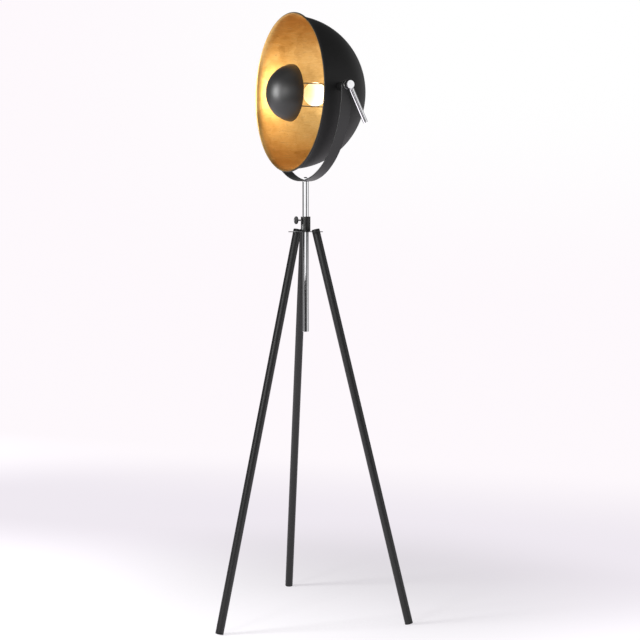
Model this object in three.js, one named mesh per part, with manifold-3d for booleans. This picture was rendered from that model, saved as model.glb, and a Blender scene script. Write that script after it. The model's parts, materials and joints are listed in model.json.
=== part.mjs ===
// Tripod floor lamp: a domed metal shade with a gilded inside and a small glare cap over the bulb,
// hung in a half-round yoke on a sliding pole, clamped in the collar of a three-legged stand.
//
// Millimetres, +Z up. The origin is on the floor under the pole. At rest the shade faces -Y and its
// tilting axis runs along X, with the clamping lever on the +X side.

import * as THREE from 'three';
import { mergeVertices } from 'three/addons/utils/BufferGeometryUtils.js';
import Module from 'manifold-3d';

const wasm = await Module();
wasm.setup();

// ---------------------------------------------------------------------------
// Driving dimensions
// ---------------------------------------------------------------------------

const GAP = 0.3; // between pieces that touch, and round a fixed piece in its hole
const HALF_TURN = Math.PI;
const QUARTER_TURN = Math.PI / 2;

// Stand
const HUB_HEIGHT = 1000; // middle of the hub plate above the floor
const HUB_PLATE_RADIUS = 44.5;
const HUB_PLATE_THICKNESS = 2;
const LEG_ANGLES = [43.2, 163.2, 283.2]; // degrees round the pole, anticlockwise from +X
const LEG_RADIUS = 10.37;
const LEG_WALL = 1.0;
const LEG_AXIS_AT_HUB = 28.5; // from the pole's axis to the leg's, at the hub plate
const LEG_AXIS_AT_FLOOR = 280.8; // and where the leg's axis would meet the floor
const LEG_RISE = 5.5; // top of a leg above the hub plate, on the leg's own axis
const LEG_PLUG_FLANGE = 1.6;
const LEG_PLUG_DEPTH = 12;
const FOOT_FLANGE = 3;
const FOOT_DEPTH = 18;
const FOOT_FLAT = 0.8; // height taken off the foot's lowest edge, so that it stands on a flat

// Collar and thumb screw
const COLLAR_RADIUS = 12.4;
const COLLAR_HEIGHT = 38;
const BUSH_WALL = 1.5;
const BUSH_RECESS = 1.5; // bush below the collar's top
const THUMB_SCREW_RADIUS = 2;
const THUMB_SCREW_HEIGHT = 28.5; // above the hub plate's top
const THUMB_KNOB_RADIUS = 10;
const THUMB_KNOB_THICKNESS = 5.2;
const THUMB_KNOB_DISTANCE = 24.2; // knob's near face from the pole's axis
const THUMB_KNOB_DISH = 1.2;
const THUMB_KNOB_ROUND = 1.6; // of the rim's edges

// Pole
const POLE_RADIUS = 8.2;
const POLE_WALL = 1.2;
const POLE_LENGTH = 387;
const POLE_RISE = 128; // top of the pole above the hub plate's top
const POLE_SLIDE_CLEARANCE = 0.3;
const POLE_PLUG_LENGTH = 14;
const POLE_PLUG_RECESS = 1; // plug inside the pole's lower end
const POLE_INSERT_LENGTH = 24;
const POLE_INSERT_FLOOR = 5; // left under the stud
const YOKE_STUD_RADIUS = 3;
const YOKE_NUT_RADIUS = 5.6;
const YOKE_NUT_HEIGHT = 6.6;
const YOKE_NUT_CAP = 1.2; // closed top of the nut
const YOKE_NUT_CHAMFER = 2; // height of the nut's sloping shoulder
const YOKE_WASHER_THICKNESS = 0.8;
const YOKE_WASHER_OVERHANG = 0.6; // beyond the nut

// Yoke
const YOKE_WIDTH = 28;
const YOKE_THICKNESS = 3;

// Shade
const SHADE_RADIUS = 192.6; // outside of the dome
const SHADE_WALL = 1.0;
const SHADE_OFFSET = 44.8; // dome's centre in front of the tilting axis
const LIP_FLARE = 5; // radius of the lip's outward turn
const BEAD_RADIUS = 2.2; // rolled edge of the lip
const LINER_WALL = 0.5;
const SHADE_SIDES = 48;
const DOME_STEPS = 10;

// Tilting axis
const PIVOT_RADIUS = 4; // clamping bolt
const BOSS_LENGTH = 32.7; // from the dome's outside to the yoke
const BOSS_RADIUS = 10;
const BOLT_HEAD_RADIUS = 7.5;
const BOLT_HEAD_HEIGHT = 4;
const WEDGE_RADIUS = 11.5;
const WEDGE_DEPTH = 4;
const PIVOT_WASHER_THICKNESS = 1.2;
const LEVER_SLEEVE_LENGTH = 4;
const LEVER_SLEEVE_RADIUS = 8.8;
const LEVER_HUB_RADIUS = 10.3;
const LEVER_HUB_LENGTH = 12.2;
const LEVER_HUB_FACE = 2; // metal left in front of the bolt's end
const LEVER_ROD_RADIUS = 5.9;
const LEVER_REACH = 99.2; // from the tilting axis to the rod's end
const LEVER_LEAN = THREE.MathUtils.degToRad(26.6); // from straight down, towards the back of the shade
const LEVER_TENON_RADIUS = 3;
const LEVER_TENON_DEPTH = 5;
const LEVER_CHAMFER = 0.6;
const DOME_NUT_RADIUS = 8;
const DOME_NUT_LENGTH = 13;
const DOME_NUT_CROWN = 5; // length of its domed end
const DOME_NUT_CAP = 4; // left over the bolt's end

// Glare cap and its rods
const GLARE_CAP_RADIUS = 73.2; // outside of the dome
const GLARE_CAP_WALL = 0.8;
const GLARE_CAP_SINK = 9.5; // dome's centre behind the cap's edge
const GLARE_CAP_SETBACK = 6; // cap's edge behind the rolled edge of the shade
const GLARE_CAP_SIDES = 32;
const SPIDER_DEPTH = 6.5; // spider inside the cap's edge
const SPIDER_THICKNESS = 2;
const SPIDER_RING_WIDTH = 10;
const SPIDER_ARM_WIDTH = 12;
const ROD_ANGLES = [45, 165, 285]; // degrees round the shade's axis, anticlockwise from +X
const ROD_RADIUS = 1.5;
const ROD_CIRCLE = 33.5;
const ROD_SHOULDER_RADIUS = 2.6;
const ROD_SHOULDER_LENGTH = 2;
const ROD_NUT_RADIUS = 3.4;
const ROD_NUT_HEIGHT = 2.4;
const ROD_TAIL = 2; // rod beyond its nut
const ROD_PLATE_RADIUS = 40;
const ROD_PLATE_THICKNESS = 2;

// Lampholder and bulb
const NIPPLE_RADIUS = 5;
const NIPPLE_BORE = 3.5;
const NIPPLE_NUT_RADIUS = 8.1;
const NIPPLE_NUT_HEIGHT = 3;
const NIPPLE_RECESS = 6; // nipple's front end below the holder's base
const NIPPLE_TAIL = 2; // nipple beyond its rear nut
const HOLDER_RADIUS = 20;
const HOLDER_LENGTH = 57;
const HOLDER_BASE = 22; // solid base, with the bore for the nipple
const HOLDER_WALL = 3;
const HOLDER_SHOULDER = [3, 5]; // inwards and forwards, at the back edge
const HOLDER_RING_RADIUS = 23;
const HOLDER_RING_LENGTH = 10;
const HOLDER_RING_SETBACK = 8;
const SCREW_SHELL_WALL = 0.6;
const SCREW_SHELL_TAIL = 2; // behind the bulb's tip
const SCREW_SHELL_RECESS = 1; // inside the holder's mouth
const TONGUE_THICKNESS = 0.8;
const TONGUE_WIDTH = 6;
const TONGUE_FOOT = [7, 11]; // where it lies on the holder's base
const TONGUE_TIP = 4; // half the length of the stretch under the bulb's tip
const BULB_RADIUS = 30;
const BULB_LENGTH = 108; // with its base
const BULB_BASE_RADIUS = 13.2;
const BULB_BASE_LENGTH = 24;
const BULB_BASE_WALL = 0.6;
const BULB_BASE_END_RADIUS = 7;
const BULB_BASE_TAPER = 5; // length of its sloping end
const BULB_GLASS_IN_BASE = 6;
const BULB_NECK_LENGTH = 4; // straight, in front of the base
const BULB_SHOULDERS = [[3, 29], [8.5, 20]]; // out from the neck, and back from the globe's middle
const BULB_GLASS = 1;
const BULB_CONTACT_RADIUS = 4.6;
const BULB_CONTACT_LENGTH = 2.7;
const BULB_IN_HOLDER = 27.2; // how far the bulb's base goes into the holder

// Rear cover
const REAR_COVER_RADIUS = 30;
const REAR_COVER_DEPTH = 10.5;
const REAR_COVER_WALL = 1.2;
const REAR_COVER_ROUND = 2;
const REAR_SCREW_CIRCLE = 22;
const REAR_SCREW_RADIUS = 1.5;
const REAR_SCREW_HEAD_RADIUS = 2.8;
const REAR_SCREW_HEAD_HEIGHT = 1.8;
const REAR_SCREW_CLEARANCE = 1.5; // between the screw's end and the rod plate
const GLAND_RADIUS = 4.2;
const GLAND_BORE = 2.4;
const GLAND_LENGTH = 9;
const GLAND_NECK_RADIUS = 3.2;
const GLAND_INSIDE = 2; // neck inside the cover
const GLAND_TIP_WALL = 1.2;
const TERMINAL_BLOCK = [20, 9, 5];
const TERMINAL_BLOCK_CLEARANCE = 2; // from the nipple's nut and from the cover

// ---------------------------------------------------------------------------
// Places worked out from the dimensions
// ---------------------------------------------------------------------------

const hubTop = HUB_HEIGHT + HUB_PLATE_THICKNESS / 2;
const legLean = Math.atan2(LEG_AXIS_AT_FLOOR - LEG_AXIS_AT_HUB, HUB_HEIGHT);
const poleTop = hubTop + POLE_RISE;
const poleBore = POLE_RADIUS - POLE_WALL;

const wallAtPivot = Math.sqrt(SHADE_RADIUS ** 2 - SHADE_OFFSET ** 2);
const yokeInner = wallAtPivot + BOSS_LENGTH;
const yokeOuter = yokeInner + YOKE_THICKNESS;
const pivotHeight = poleTop + GAP + yokeOuter;
// The strap is bent, so its middle lies this far below its edges under the washer
const yokeWasherRadius = YOKE_NUT_RADIUS + YOKE_WASHER_OVERHANG;
const yokeBend = yokeInner - Math.sqrt(yokeInner ** 2 - yokeWasherRadius ** 2);
const yokeWasherLow = pivotHeight - yokeInner + yokeBend + GAP;
const yokeNutLow = yokeWasherLow + YOKE_WASHER_THICKNESS + GAP;
const yokeNutTop = yokeNutLow + YOKE_NUT_HEIGHT;
const yokeNutBoreTop = yokeNutTop - YOKE_NUT_CAP;

const linerOuter = SHADE_RADIUS - SHADE_WALL - GAP;
const linerInner = linerOuter - LINER_WALL;
// How far a flat side of the faceted dome lies inside the true sphere
const domeSag =
  SHADE_RADIUS * (2 - Math.cos(Math.PI / SHADE_SIDES) - Math.cos(Math.PI / 4 / DOME_STEPS));

// Along the shade's axis, forwards from the tilting axis
const beadRadiusAt = SHADE_RADIUS - SHADE_WALL + LIP_FLARE + BEAD_RADIUS * 0.8;
const beadForward = SHADE_OFFSET + BEAD_RADIUS;
const rodPlateBack =
  SHADE_OFFSET - Math.sqrt(linerInner ** 2 - ROD_PLATE_RADIUS ** 2) + domeSag + GAP;
const rodPlateFront = rodPlateBack + ROD_PLATE_THICKNESS;
const frontNutBack = rodPlateFront + GAP;
const holderBack = frontNutBack + NIPPLE_NUT_HEIGHT + GAP;
const holderFront = holderBack + HOLDER_LENGTH;
const bulbBack = holderFront - BULB_IN_HOLDER;
const bulbFront = bulbBack + BULB_LENGTH;
const glareCapEdge = beadForward - GLARE_CAP_SETBACK;
const glareCapCentre = glareCapEdge - GLARE_CAP_SINK;
const spiderBack = glareCapEdge + SPIDER_DEPTH;
const spiderFront = spiderBack + SPIDER_THICKNESS;

// ---------------------------------------------------------------------------
// Materials
// ---------------------------------------------------------------------------

const finish = (color, roughness, metalness) =>
  new THREE.MeshStandardMaterial({ color, roughness, metalness });

const blackPaint = finish('#2a2a2b', 0.5, 0.2);
const blackShade = finish('#262627', 0.55, 0.1);
const chrome = finish('#d8d8dc', 0.08, 1);
const zinc = finish('#a9abae', 0.35, 1);
const goldLeaf = finish('#d9a043', 0.35, 1);
const blackPlastic = finish('#1b1b1c', 0.55, 0);
const nylon = finish('#e6e4dc', 0.6, 0);
const rubber = finish('#171717', 0.85, 0);
const ceramic = finish('#e9e6de', 0.3, 0);
const brass = finish('#c79a4b', 0.3, 1);
const frostedGlass = finish('#fff6e0', 0.35, 0);

// ---------------------------------------------------------------------------
// Shapes
// ---------------------------------------------------------------------------

const radians = THREE.MathUtils.degToRad;

/** Keeps only positions, with shared corners merged and flat triangles dropped, facing outwards. */
function closed(geometry) {
  geometry.deleteAttribute('normal');
  geometry.deleteAttribute('uv');
  const merged = mergeVertices(geometry, 1e-4);
  const p = merged.getAttribute('position');
  const corner = (i) => new THREE.Vector3().fromBufferAttribute(p, i);
  const faces = [];
  let volume = 0;
  for (let i = 0; i < merged.index.count; i += 3) {
    const [a, b, c] = [0, 1, 2].map((k) => merged.index.getX(i + k));
    if (a === b || b === c || c === a) continue;
    faces.push(a, b, c);
    volume += corner(a).dot(corner(b).cross(corner(c)));
  }
  if (volume < 0) faces.reverse();
  merged.setIndex(faces);
  return merged;
}

/** A solid turned round Z. The profile is [radius, z] pairs, ending on the axis or closing on itself. */
function turned(profile, sides = 16) {
  const points = profile.map(([r, z]) => new THREE.Vector2(r, z));
  return closed(new THREE.LatheGeometry(points, sides).rotateX(QUARTER_TURN));
}

/** A round tube along Z from low to high. */
function tube(outer, inner, low, high, sides = 16) {
  const profile = [[inner, low], [outer, low], [outer, high], [inner, high], [inner, low]];
  return turned(profile, sides);
}

/** A round bar along Z from low to high. */
function bar(radius, low, high, sides = 16) {
  return turned([[0, low], [radius, low], [radius, high], [0, high]], sides);
}

/** Points of an arc in a profile, angles in degrees from the +r direction towards +z. */
function arc(r, z, radius, from, to, steps) {
  return Array.from({ length: steps + 1 }, (_, i) => {
    const angle = radians(from + ((to - from) * i) / steps);
    return [r + radius * Math.cos(angle), z + radius * Math.sin(angle)];
  });
}

/** A flat outline in XY, pushed up along Z from low to high. */
function extruded(shape, low, high, curveSegments = 24) {
  const options = { depth: high - low, bevelEnabled: false, curveSegments };
  return closed(new THREE.ExtrudeGeometry(shape, options).translate(0, 0, low));
}

function hexNut(radius, bore, low, high) {
  const shape = new THREE.Shape();
  for (let i = 0; i < 6; i++) {
    const angle = (i * Math.PI) / 3;
    shape[i ? 'lineTo' : 'moveTo'](radius * Math.cos(angle), radius * Math.sin(angle));
  }
  shape.closePath();
  shape.holes.push(new THREE.Path().absarc(0, 0, bore, 0, 2 * Math.PI, true));
  return extruded(shape, low, high, 8);
}

function toSolid(geometry) {
  const vertProperties = Float32Array.from(geometry.getAttribute('position').array);
  const triVerts = Uint32Array.from(geometry.index.array);
  return new wasm.Manifold(new wasm.Mesh({ numProp: 3, vertProperties, triVerts }));
}

function fromSolid(solid) {
  const { vertProperties, triVerts } = solid.getMesh();
  const geometry = new THREE.BufferGeometry();
  geometry.setAttribute('position', new THREE.BufferAttribute(vertProperties, 3));
  geometry.setIndex(new THREE.BufferAttribute(triVerts, 1));
  return geometry;
}

/** The first geometry with all the others cut out of it. */
function cut(geometry, ...tools) {
  const solid = tools.reduce((left, tool) => left.subtract(toSolid(tool)), toSolid(geometry));
  return fromSolid(solid);
}

function joined(...geometries) {
  return fromSolid(geometries.map(toSolid).reduce((left, right) => left.add(right)));
}

/** What two geometries have in common. */
function common(a, b) {
  return fromSolid(toSolid(a).intersect(toSolid(b)));
}

const sphere = (radius, sides = 48) => closed(new THREE.SphereGeometry(radius, sides, sides / 2));

function add(group, name, geometry, material) {
  const mesh = new THREE.Mesh(geometry, material);
  mesh.name = name;
  group.add(mesh);
  return mesh;
}

// ---------------------------------------------------------------------------
// Stand
// ---------------------------------------------------------------------------

/** Moves a shape made along a leg's own axis to that leg's place. */
function alongLeg(geometry, angle) {
  return geometry
    .rotateY(-legLean)
    .translate(LEG_AXIS_AT_HUB, 0, HUB_HEIGHT)
    .rotateZ(radians(angle));
}

function makeLeg(stand, angle, number) {
  const leg = new THREE.Group();
  const fan = new THREE.Group();
  fan.rotation.z = radians(angle);
  leg.position.set(LEG_AXIS_AT_HUB, 0, HUB_HEIGHT);
  leg.rotation.y = -legLean;
  fan.add(leg);
  stand.add(fan);

  // Along the leg, measured up from the hub plate
  const slope = Math.cos(legLean);
  const top = (HUB_PLATE_THICKNESS / 2 + LEG_RISE) / slope;
  const soleHeight = LEG_RADIUS * Math.sin(legLean) - FOOT_FLAT;
  const sole = -(HUB_HEIGHT - soleHeight) / slope;
  const tubeTop = top - LEG_PLUG_FLANGE - GAP;
  const tubeBottom = sole + FOOT_FLANGE + GAP;
  const bore = LEG_RADIUS - LEG_WALL;
  const plug = bore - GAP;

  add(leg, `leg_${number}`, tube(LEG_RADIUS, bore, tubeBottom, tubeTop), blackPaint);
  add(
    leg,
    `leg_plug_${number}`,
    turned([
      [0, tubeTop - LEG_PLUG_DEPTH],
      [plug, tubeTop - LEG_PLUG_DEPTH],
      [plug, tubeTop + GAP],
      [LEG_RADIUS, tubeTop + GAP],
      [LEG_RADIUS, top],
      [0, top],
    ]),
    blackPlastic,
  );

  const foot = turned([
    [0, sole],
    [LEG_RADIUS, sole],
    [LEG_RADIUS, sole + FOOT_FLANGE],
    [plug, sole + FOOT_FLANGE],
    [plug, sole + FOOT_FLANGE + FOOT_DEPTH],
    [0, sole + FOOT_FLANGE + FOOT_DEPTH],
  ]);
  const floor = closed(new THREE.BoxGeometry(8 * LEG_RADIUS, 8 * LEG_RADIUS, 2 * LEG_RADIUS))
    .translate(LEG_AXIS_AT_FLOOR - LEG_AXIS_AT_HUB, 0, -LEG_RADIUS - HUB_HEIGHT)
    .rotateY(legLean);
  add(leg, `foot_${number}`, cut(foot, floor), rubber);
}

function makeStand() {
  const stand = new THREE.Group();

  const disc = bar(HUB_PLATE_RADIUS, hubTop - HUB_PLATE_THICKNESS, hubTop, 36);
  const reach = HUB_PLATE_RADIUS;
  const legHoles = LEG_ANGLES.map((angle) =>
    alongLeg(bar(LEG_RADIUS + GAP, -reach, reach, 20), angle),
  );
  const bushInner = POLE_RADIUS + POLE_SLIDE_CLEARANCE;
  const poleHole = bar(bushInner, HUB_HEIGHT - reach, HUB_HEIGHT + reach, 20);
  add(stand, 'hub_plate', cut(disc, poleHole, ...legHoles), blackPaint);

  const bushOuter = bushInner + BUSH_WALL;
  const collarBottom = hubTop + GAP;
  const collarTop = hubTop + COLLAR_HEIGHT;
  const screwHole = bar(THUMB_SCREW_RADIUS + GAP, 0, 2 * COLLAR_RADIUS, 10)
    .rotateX(QUARTER_TURN)
    .translate(0, 0, hubTop + THUMB_SCREW_HEIGHT);
  const collar = tube(COLLAR_RADIUS, bushOuter + GAP, collarBottom, collarTop, 20);
  const bush = tube(bushOuter, bushInner, collarBottom, collarTop - BUSH_RECESS, 20);
  add(stand, 'clamp_collar', cut(collar, screwHole), blackPaint);
  add(stand, 'collar_bush', cut(bush, screwHole), nylon);

  LEG_ANGLES.forEach((angle, i) => makeLeg(stand, angle, i + 1));
  return stand;
}

/** The thumb screw points out of the collar along -Y, the way that the shade faces. */
function makeThumbScrew() {
  const screw = new THREE.Group();
  screw.position.z = hubTop + THUMB_SCREW_HEIGHT;
  screw.rotation.x = QUARTER_TURN;

  const tip = POLE_RADIUS + POLE_SLIDE_CLEARANCE;
  const near = THUMB_KNOB_DISTANCE;
  const far = near + THUMB_KNOB_THICKNESS;
  const spigot = near + THUMB_KNOB_THICKNESS / 2;
  const round = THUMB_KNOB_ROUND;
  add(screw, 'thumb_screw', bar(THUMB_SCREW_RADIUS, tip, spigot - GAP, 10), zinc);
  add(
    screw,
    'thumb_knob',
    turned(
      [
        [0, spigot],
        [THUMB_SCREW_RADIUS + GAP, spigot],
        [THUMB_SCREW_RADIUS + GAP, near],
        ...arc(THUMB_KNOB_RADIUS - round, near + round, round, -90, 0, 2),
        ...arc(THUMB_KNOB_RADIUS - round, far - round, round, 0, 90, 2),
        [THUMB_KNOB_RADIUS * 0.6, far - THUMB_KNOB_DISH * 0.8],
        [0, far - THUMB_KNOB_DISH],
      ],
      20,
    ),
    blackPlastic,
  );
  return screw;
}

// ---------------------------------------------------------------------------
// Pole and yoke
// ---------------------------------------------------------------------------

function makePole() {
  const pole = new THREE.Group();
  const low = poleTop - POLE_LENGTH;
  const plug = low + POLE_PLUG_RECESS;
  const insert = poleTop - POLE_INSERT_LENGTH;
  const socketFloor = insert + POLE_INSERT_FLOOR;
  const studHole = YOKE_STUD_RADIUS + GAP;

  add(pole, 'pole_tube', tube(POLE_RADIUS, poleBore, low, poleTop, 20), chrome);
  add(pole, 'pole_end_plug', bar(poleBore - GAP, plug, plug + POLE_PLUG_LENGTH), blackPlastic);
  add(
    pole,
    'pole_insert',
    turned([
      [0, insert],
      [poleBore - GAP, insert],
      [poleBore - GAP, poleTop],
      [studHole, poleTop],
      [studHole, socketFloor],
      [0, socketFloor],
    ]),
    zinc,
  );
  const stud = bar(YOKE_STUD_RADIUS, socketFloor + GAP, yokeNutBoreTop - GAP, 12);
  add(pole, 'yoke_stud', stud, zinc);
  return pole;
}

/** A half-round strap. Its arms run up to round ends on the tilting axis. */
function makeYoke() {
  const yoke = new THREE.Group();
  yoke.position.z = pivotHeight;

  const endRadius = YOKE_WIDTH / 2;
  const outline = new THREE.Shape();
  outline.moveTo(-yokeOuter, endRadius);
  outline.lineTo(-yokeOuter, 0);
  outline.absarc(0, 0, yokeOuter, HALF_TURN, 2 * HALF_TURN, false);
  outline.lineTo(yokeOuter, endRadius);
  outline.lineTo(yokeInner, endRadius);
  outline.lineTo(yokeInner, 0);
  outline.absarc(0, 0, yokeInner, 2 * HALF_TURN, HALF_TURN, true);
  outline.lineTo(-yokeInner, endRadius);
  outline.closePath();
  const strap = extruded(outline, -YOKE_WIDTH / 2, YOKE_WIDTH / 2, 28).rotateX(QUARTER_TURN);

  // Seen along X, the arm ends in a half circle about the tilting axis
  const sideView = new THREE.Shape();
  sideView.moveTo(-endRadius - 1, -2 * yokeOuter);
  sideView.lineTo(-endRadius - 1, 0);
  sideView.lineTo(-endRadius, 0);
  sideView.absarc(0, 0, endRadius, HALF_TURN, 0, true);
  sideView.lineTo(endRadius + 1, 0);
  sideView.lineTo(endRadius + 1, -2 * yokeOuter);
  sideView.closePath();
  const mask = extruded(sideView, -2 * yokeOuter, 2 * yokeOuter, 12)
    .rotateX(QUARTER_TURN)
    .rotateZ(QUARTER_TURN);

  const pivotHole = bar(PIVOT_RADIUS + GAP, -2 * yokeOuter, 2 * yokeOuter).rotateY(QUARTER_TURN);
  const studHole = bar(YOKE_STUD_RADIUS + GAP, -2 * yokeOuter, 0, 12);
  add(yoke, 'yoke', cut(common(strap, mask), pivotHole, studHole), blackPaint);

  const bore = YOKE_STUD_RADIUS + GAP;
  const washer = tube(yokeWasherRadius, bore, yokeWasherLow, yokeNutLow - GAP);
  const nut = turned([
    [0, yokeNutBoreTop],
    [bore, yokeNutBoreTop],
    [bore, yokeNutLow],
    [YOKE_NUT_RADIUS, yokeNutLow],
    [YOKE_NUT_RADIUS, yokeNutTop - YOKE_NUT_CHAMFER],
    [YOKE_NUT_RADIUS * 0.75, yokeNutTop - YOKE_NUT_CHAMFER * 0.3],
    [0, yokeNutTop],
  ]);
  add(yoke, 'yoke_washer', washer.translate(0, 0, -pivotHeight), zinc);
  add(yoke, 'yoke_nut', nut.translate(0, 0, -pivotHeight), chrome);
  return yoke;
}

// ---------------------------------------------------------------------------
// Tilting axis
// ---------------------------------------------------------------------------

/** A group on one side of the tilting axis, with its Z pointing out of the shade. */
function pivotSide(side) {
  const group = new THREE.Group();
  group.rotation.y = side * QUARTER_TURN;
  return group;
}

/** The bolt, its seats and its washer on one side. boltEnd is how far out the bolt reaches. */
function makePivot(head, side, suffix, boltEnd) {
  const pivot = pivotSide(side);
  head.add(pivot);
  const hole = PIVOT_RADIUS + GAP;

  // The dome leans at the pivot, so the seats on it are cut to its curve
  const domeCentre = [0, -SHADE_OFFSET, 0];
  const insideDome = sphere(linerInner - domeSag - GAP, 72).translate(...domeCentre);
  const outsideDome = sphere(SHADE_RADIUS + domeSag + GAP, 72).translate(...domeCentre);
  const wedgeIn = Math.sqrt(linerInner ** 2 - (SHADE_OFFSET + WEDGE_RADIUS) ** 2) - WEDGE_DEPTH;
  const wedge = tube(WEDGE_RADIUS, hole, wedgeIn, wallAtPivot + 5);
  const boss = tube(BOSS_RADIUS, hole, wallAtPivot - 10, yokeInner - GAP);
  add(pivot, `pivot_seat_${suffix}`, common(wedge, insideDome), zinc);
  add(pivot, `pivot_boss_${suffix}`, cut(boss, outsideDome), blackPaint);

  const headOut = wedgeIn - GAP;
  add(
    pivot,
    `pivot_bolt_${suffix}`,
    turned([
      [0, headOut - BOLT_HEAD_HEIGHT],
      [BOLT_HEAD_RADIUS * 0.7, headOut - BOLT_HEAD_HEIGHT * 0.8],
      [BOLT_HEAD_RADIUS, headOut - BOLT_HEAD_HEIGHT * 0.3],
      [BOLT_HEAD_RADIUS, headOut],
      [PIVOT_RADIUS, headOut],
      [PIVOT_RADIUS, boltEnd],
      [0, boltEnd],
    ]),
    zinc,
  );

  const washerIn = yokeOuter + GAP;
  const washerOut = washerIn + PIVOT_WASHER_THICKNESS;
  add(pivot, `pivot_washer_${suffix}`, tube(BOSS_RADIUS, hole, washerIn, washerOut), zinc);
}

const pivotWasherOut = yokeOuter + GAP + PIVOT_WASHER_THICKNESS;
const sleeveOut = pivotWasherOut + GAP + LEVER_SLEEVE_LENGTH;
const leverHubIn = sleeveOut + GAP;
const leverHubOut = leverHubIn + LEVER_HUB_LENGTH;
const leverBoltEnd = leverHubOut - LEVER_HUB_FACE - GAP;
const domeNutIn = pivotWasherOut + GAP;
const domeNutOut = domeNutIn + DOME_NUT_LENGTH;
const domeNutBoltEnd = domeNutOut - DOME_NUT_CAP;

function makeLeverSleeve(head) {
  const pivot = pivotSide(1);
  head.add(pivot);
  const hole = PIVOT_RADIUS + GAP;
  const sleeve = tube(LEVER_SLEEVE_RADIUS, hole, pivotWasherOut + GAP, sleeveOut);
  add(pivot, 'lever_sleeve', sleeve, blackPlastic);
}

function makeDomeNut(head) {
  const pivot = pivotSide(-1);
  head.add(pivot);
  const hole = PIVOT_RADIUS + GAP;
  const shoulder = domeNutOut - DOME_NUT_CROWN;
  add(
    pivot,
    'pivot_dome_nut',
    turned([
      [0, domeNutBoltEnd + GAP],
      [hole, domeNutBoltEnd + GAP],
      [hole, domeNutIn],
      [DOME_NUT_RADIUS, domeNutIn],
      [DOME_NUT_RADIUS, shoulder],
      [DOME_NUT_RADIUS * 0.85, shoulder + DOME_NUT_CROWN * 0.52],
      [DOME_NUT_RADIUS * 0.5, shoulder + DOME_NUT_CROWN * 0.86],
      [0, domeNutOut],
    ]),
    chrome,
  );
}

/** The clamping lever: a round hub on the end of the near bolt, with a straight rod. */
function makeLever() {
  const lever = new THREE.Group();
  lever.position.z = pivotHeight;
  const hubSide = pivotSide(1);
  lever.add(hubSide);

  const rodPlane = leverHubIn + LEVER_HUB_LENGTH / 2;
  const bore = PIVOT_RADIUS + GAP;
  const boreEnd = leverBoltEnd + GAP;
  const hub = turned(
    [
      [0, boreEnd],
      [bore, boreEnd],
      [bore, leverHubIn],
      [LEVER_HUB_RADIUS - LEVER_CHAMFER, leverHubIn],
      [LEVER_HUB_RADIUS, leverHubIn + LEVER_CHAMFER],
      [LEVER_HUB_RADIUS, leverHubOut - LEVER_CHAMFER],
      [LEVER_HUB_RADIUS - LEVER_CHAMFER, leverHubOut],
      [0, leverHubOut],
    ],
    24,
  );

  // The rod leaves the hub downwards and towards the back of the shade (+Y)
  const rodStart = LEVER_HUB_RADIUS + GAP;
  const tenon = LEVER_HUB_RADIUS - LEVER_TENON_DEPTH;
  const toRod = (geometry) => geometry.rotateX(HALF_TURN + LEVER_LEAN).translate(rodPlane, 0, 0);
  const socket = toRod(bar(LEVER_TENON_RADIUS + GAP, tenon - GAP, 2 * LEVER_HUB_RADIUS, 12));
  const hubWithSocket = cut(hub, socket.rotateY(-QUARTER_TURN));
  add(hubSide, 'lever_hub', hubWithSocket, chrome);

  const rod = turned([
    [0, tenon],
    [LEVER_TENON_RADIUS, tenon],
    [LEVER_TENON_RADIUS, rodStart],
    [LEVER_ROD_RADIUS - LEVER_CHAMFER, rodStart],
    [LEVER_ROD_RADIUS, rodStart + LEVER_CHAMFER],
    [LEVER_ROD_RADIUS, LEVER_REACH - LEVER_CHAMFER],
    [LEVER_ROD_RADIUS - LEVER_CHAMFER, LEVER_REACH],
    [0, LEVER_REACH],
  ]);
  add(lever, 'lever_rod', toRod(rod), chrome);
  return lever;
}

// ---------------------------------------------------------------------------
// Shade
// ---------------------------------------------------------------------------

/** Half a dome's profile about the shade's centre, from a hole at the back round to its equator. */
function domeProfile(radius, hole) {
  const back = THREE.MathUtils.radToDeg(Math.asin(hole / radius));
  return arc(0, SHADE_OFFSET, radius, -90 + back, 0, DOME_STEPS);
}

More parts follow.
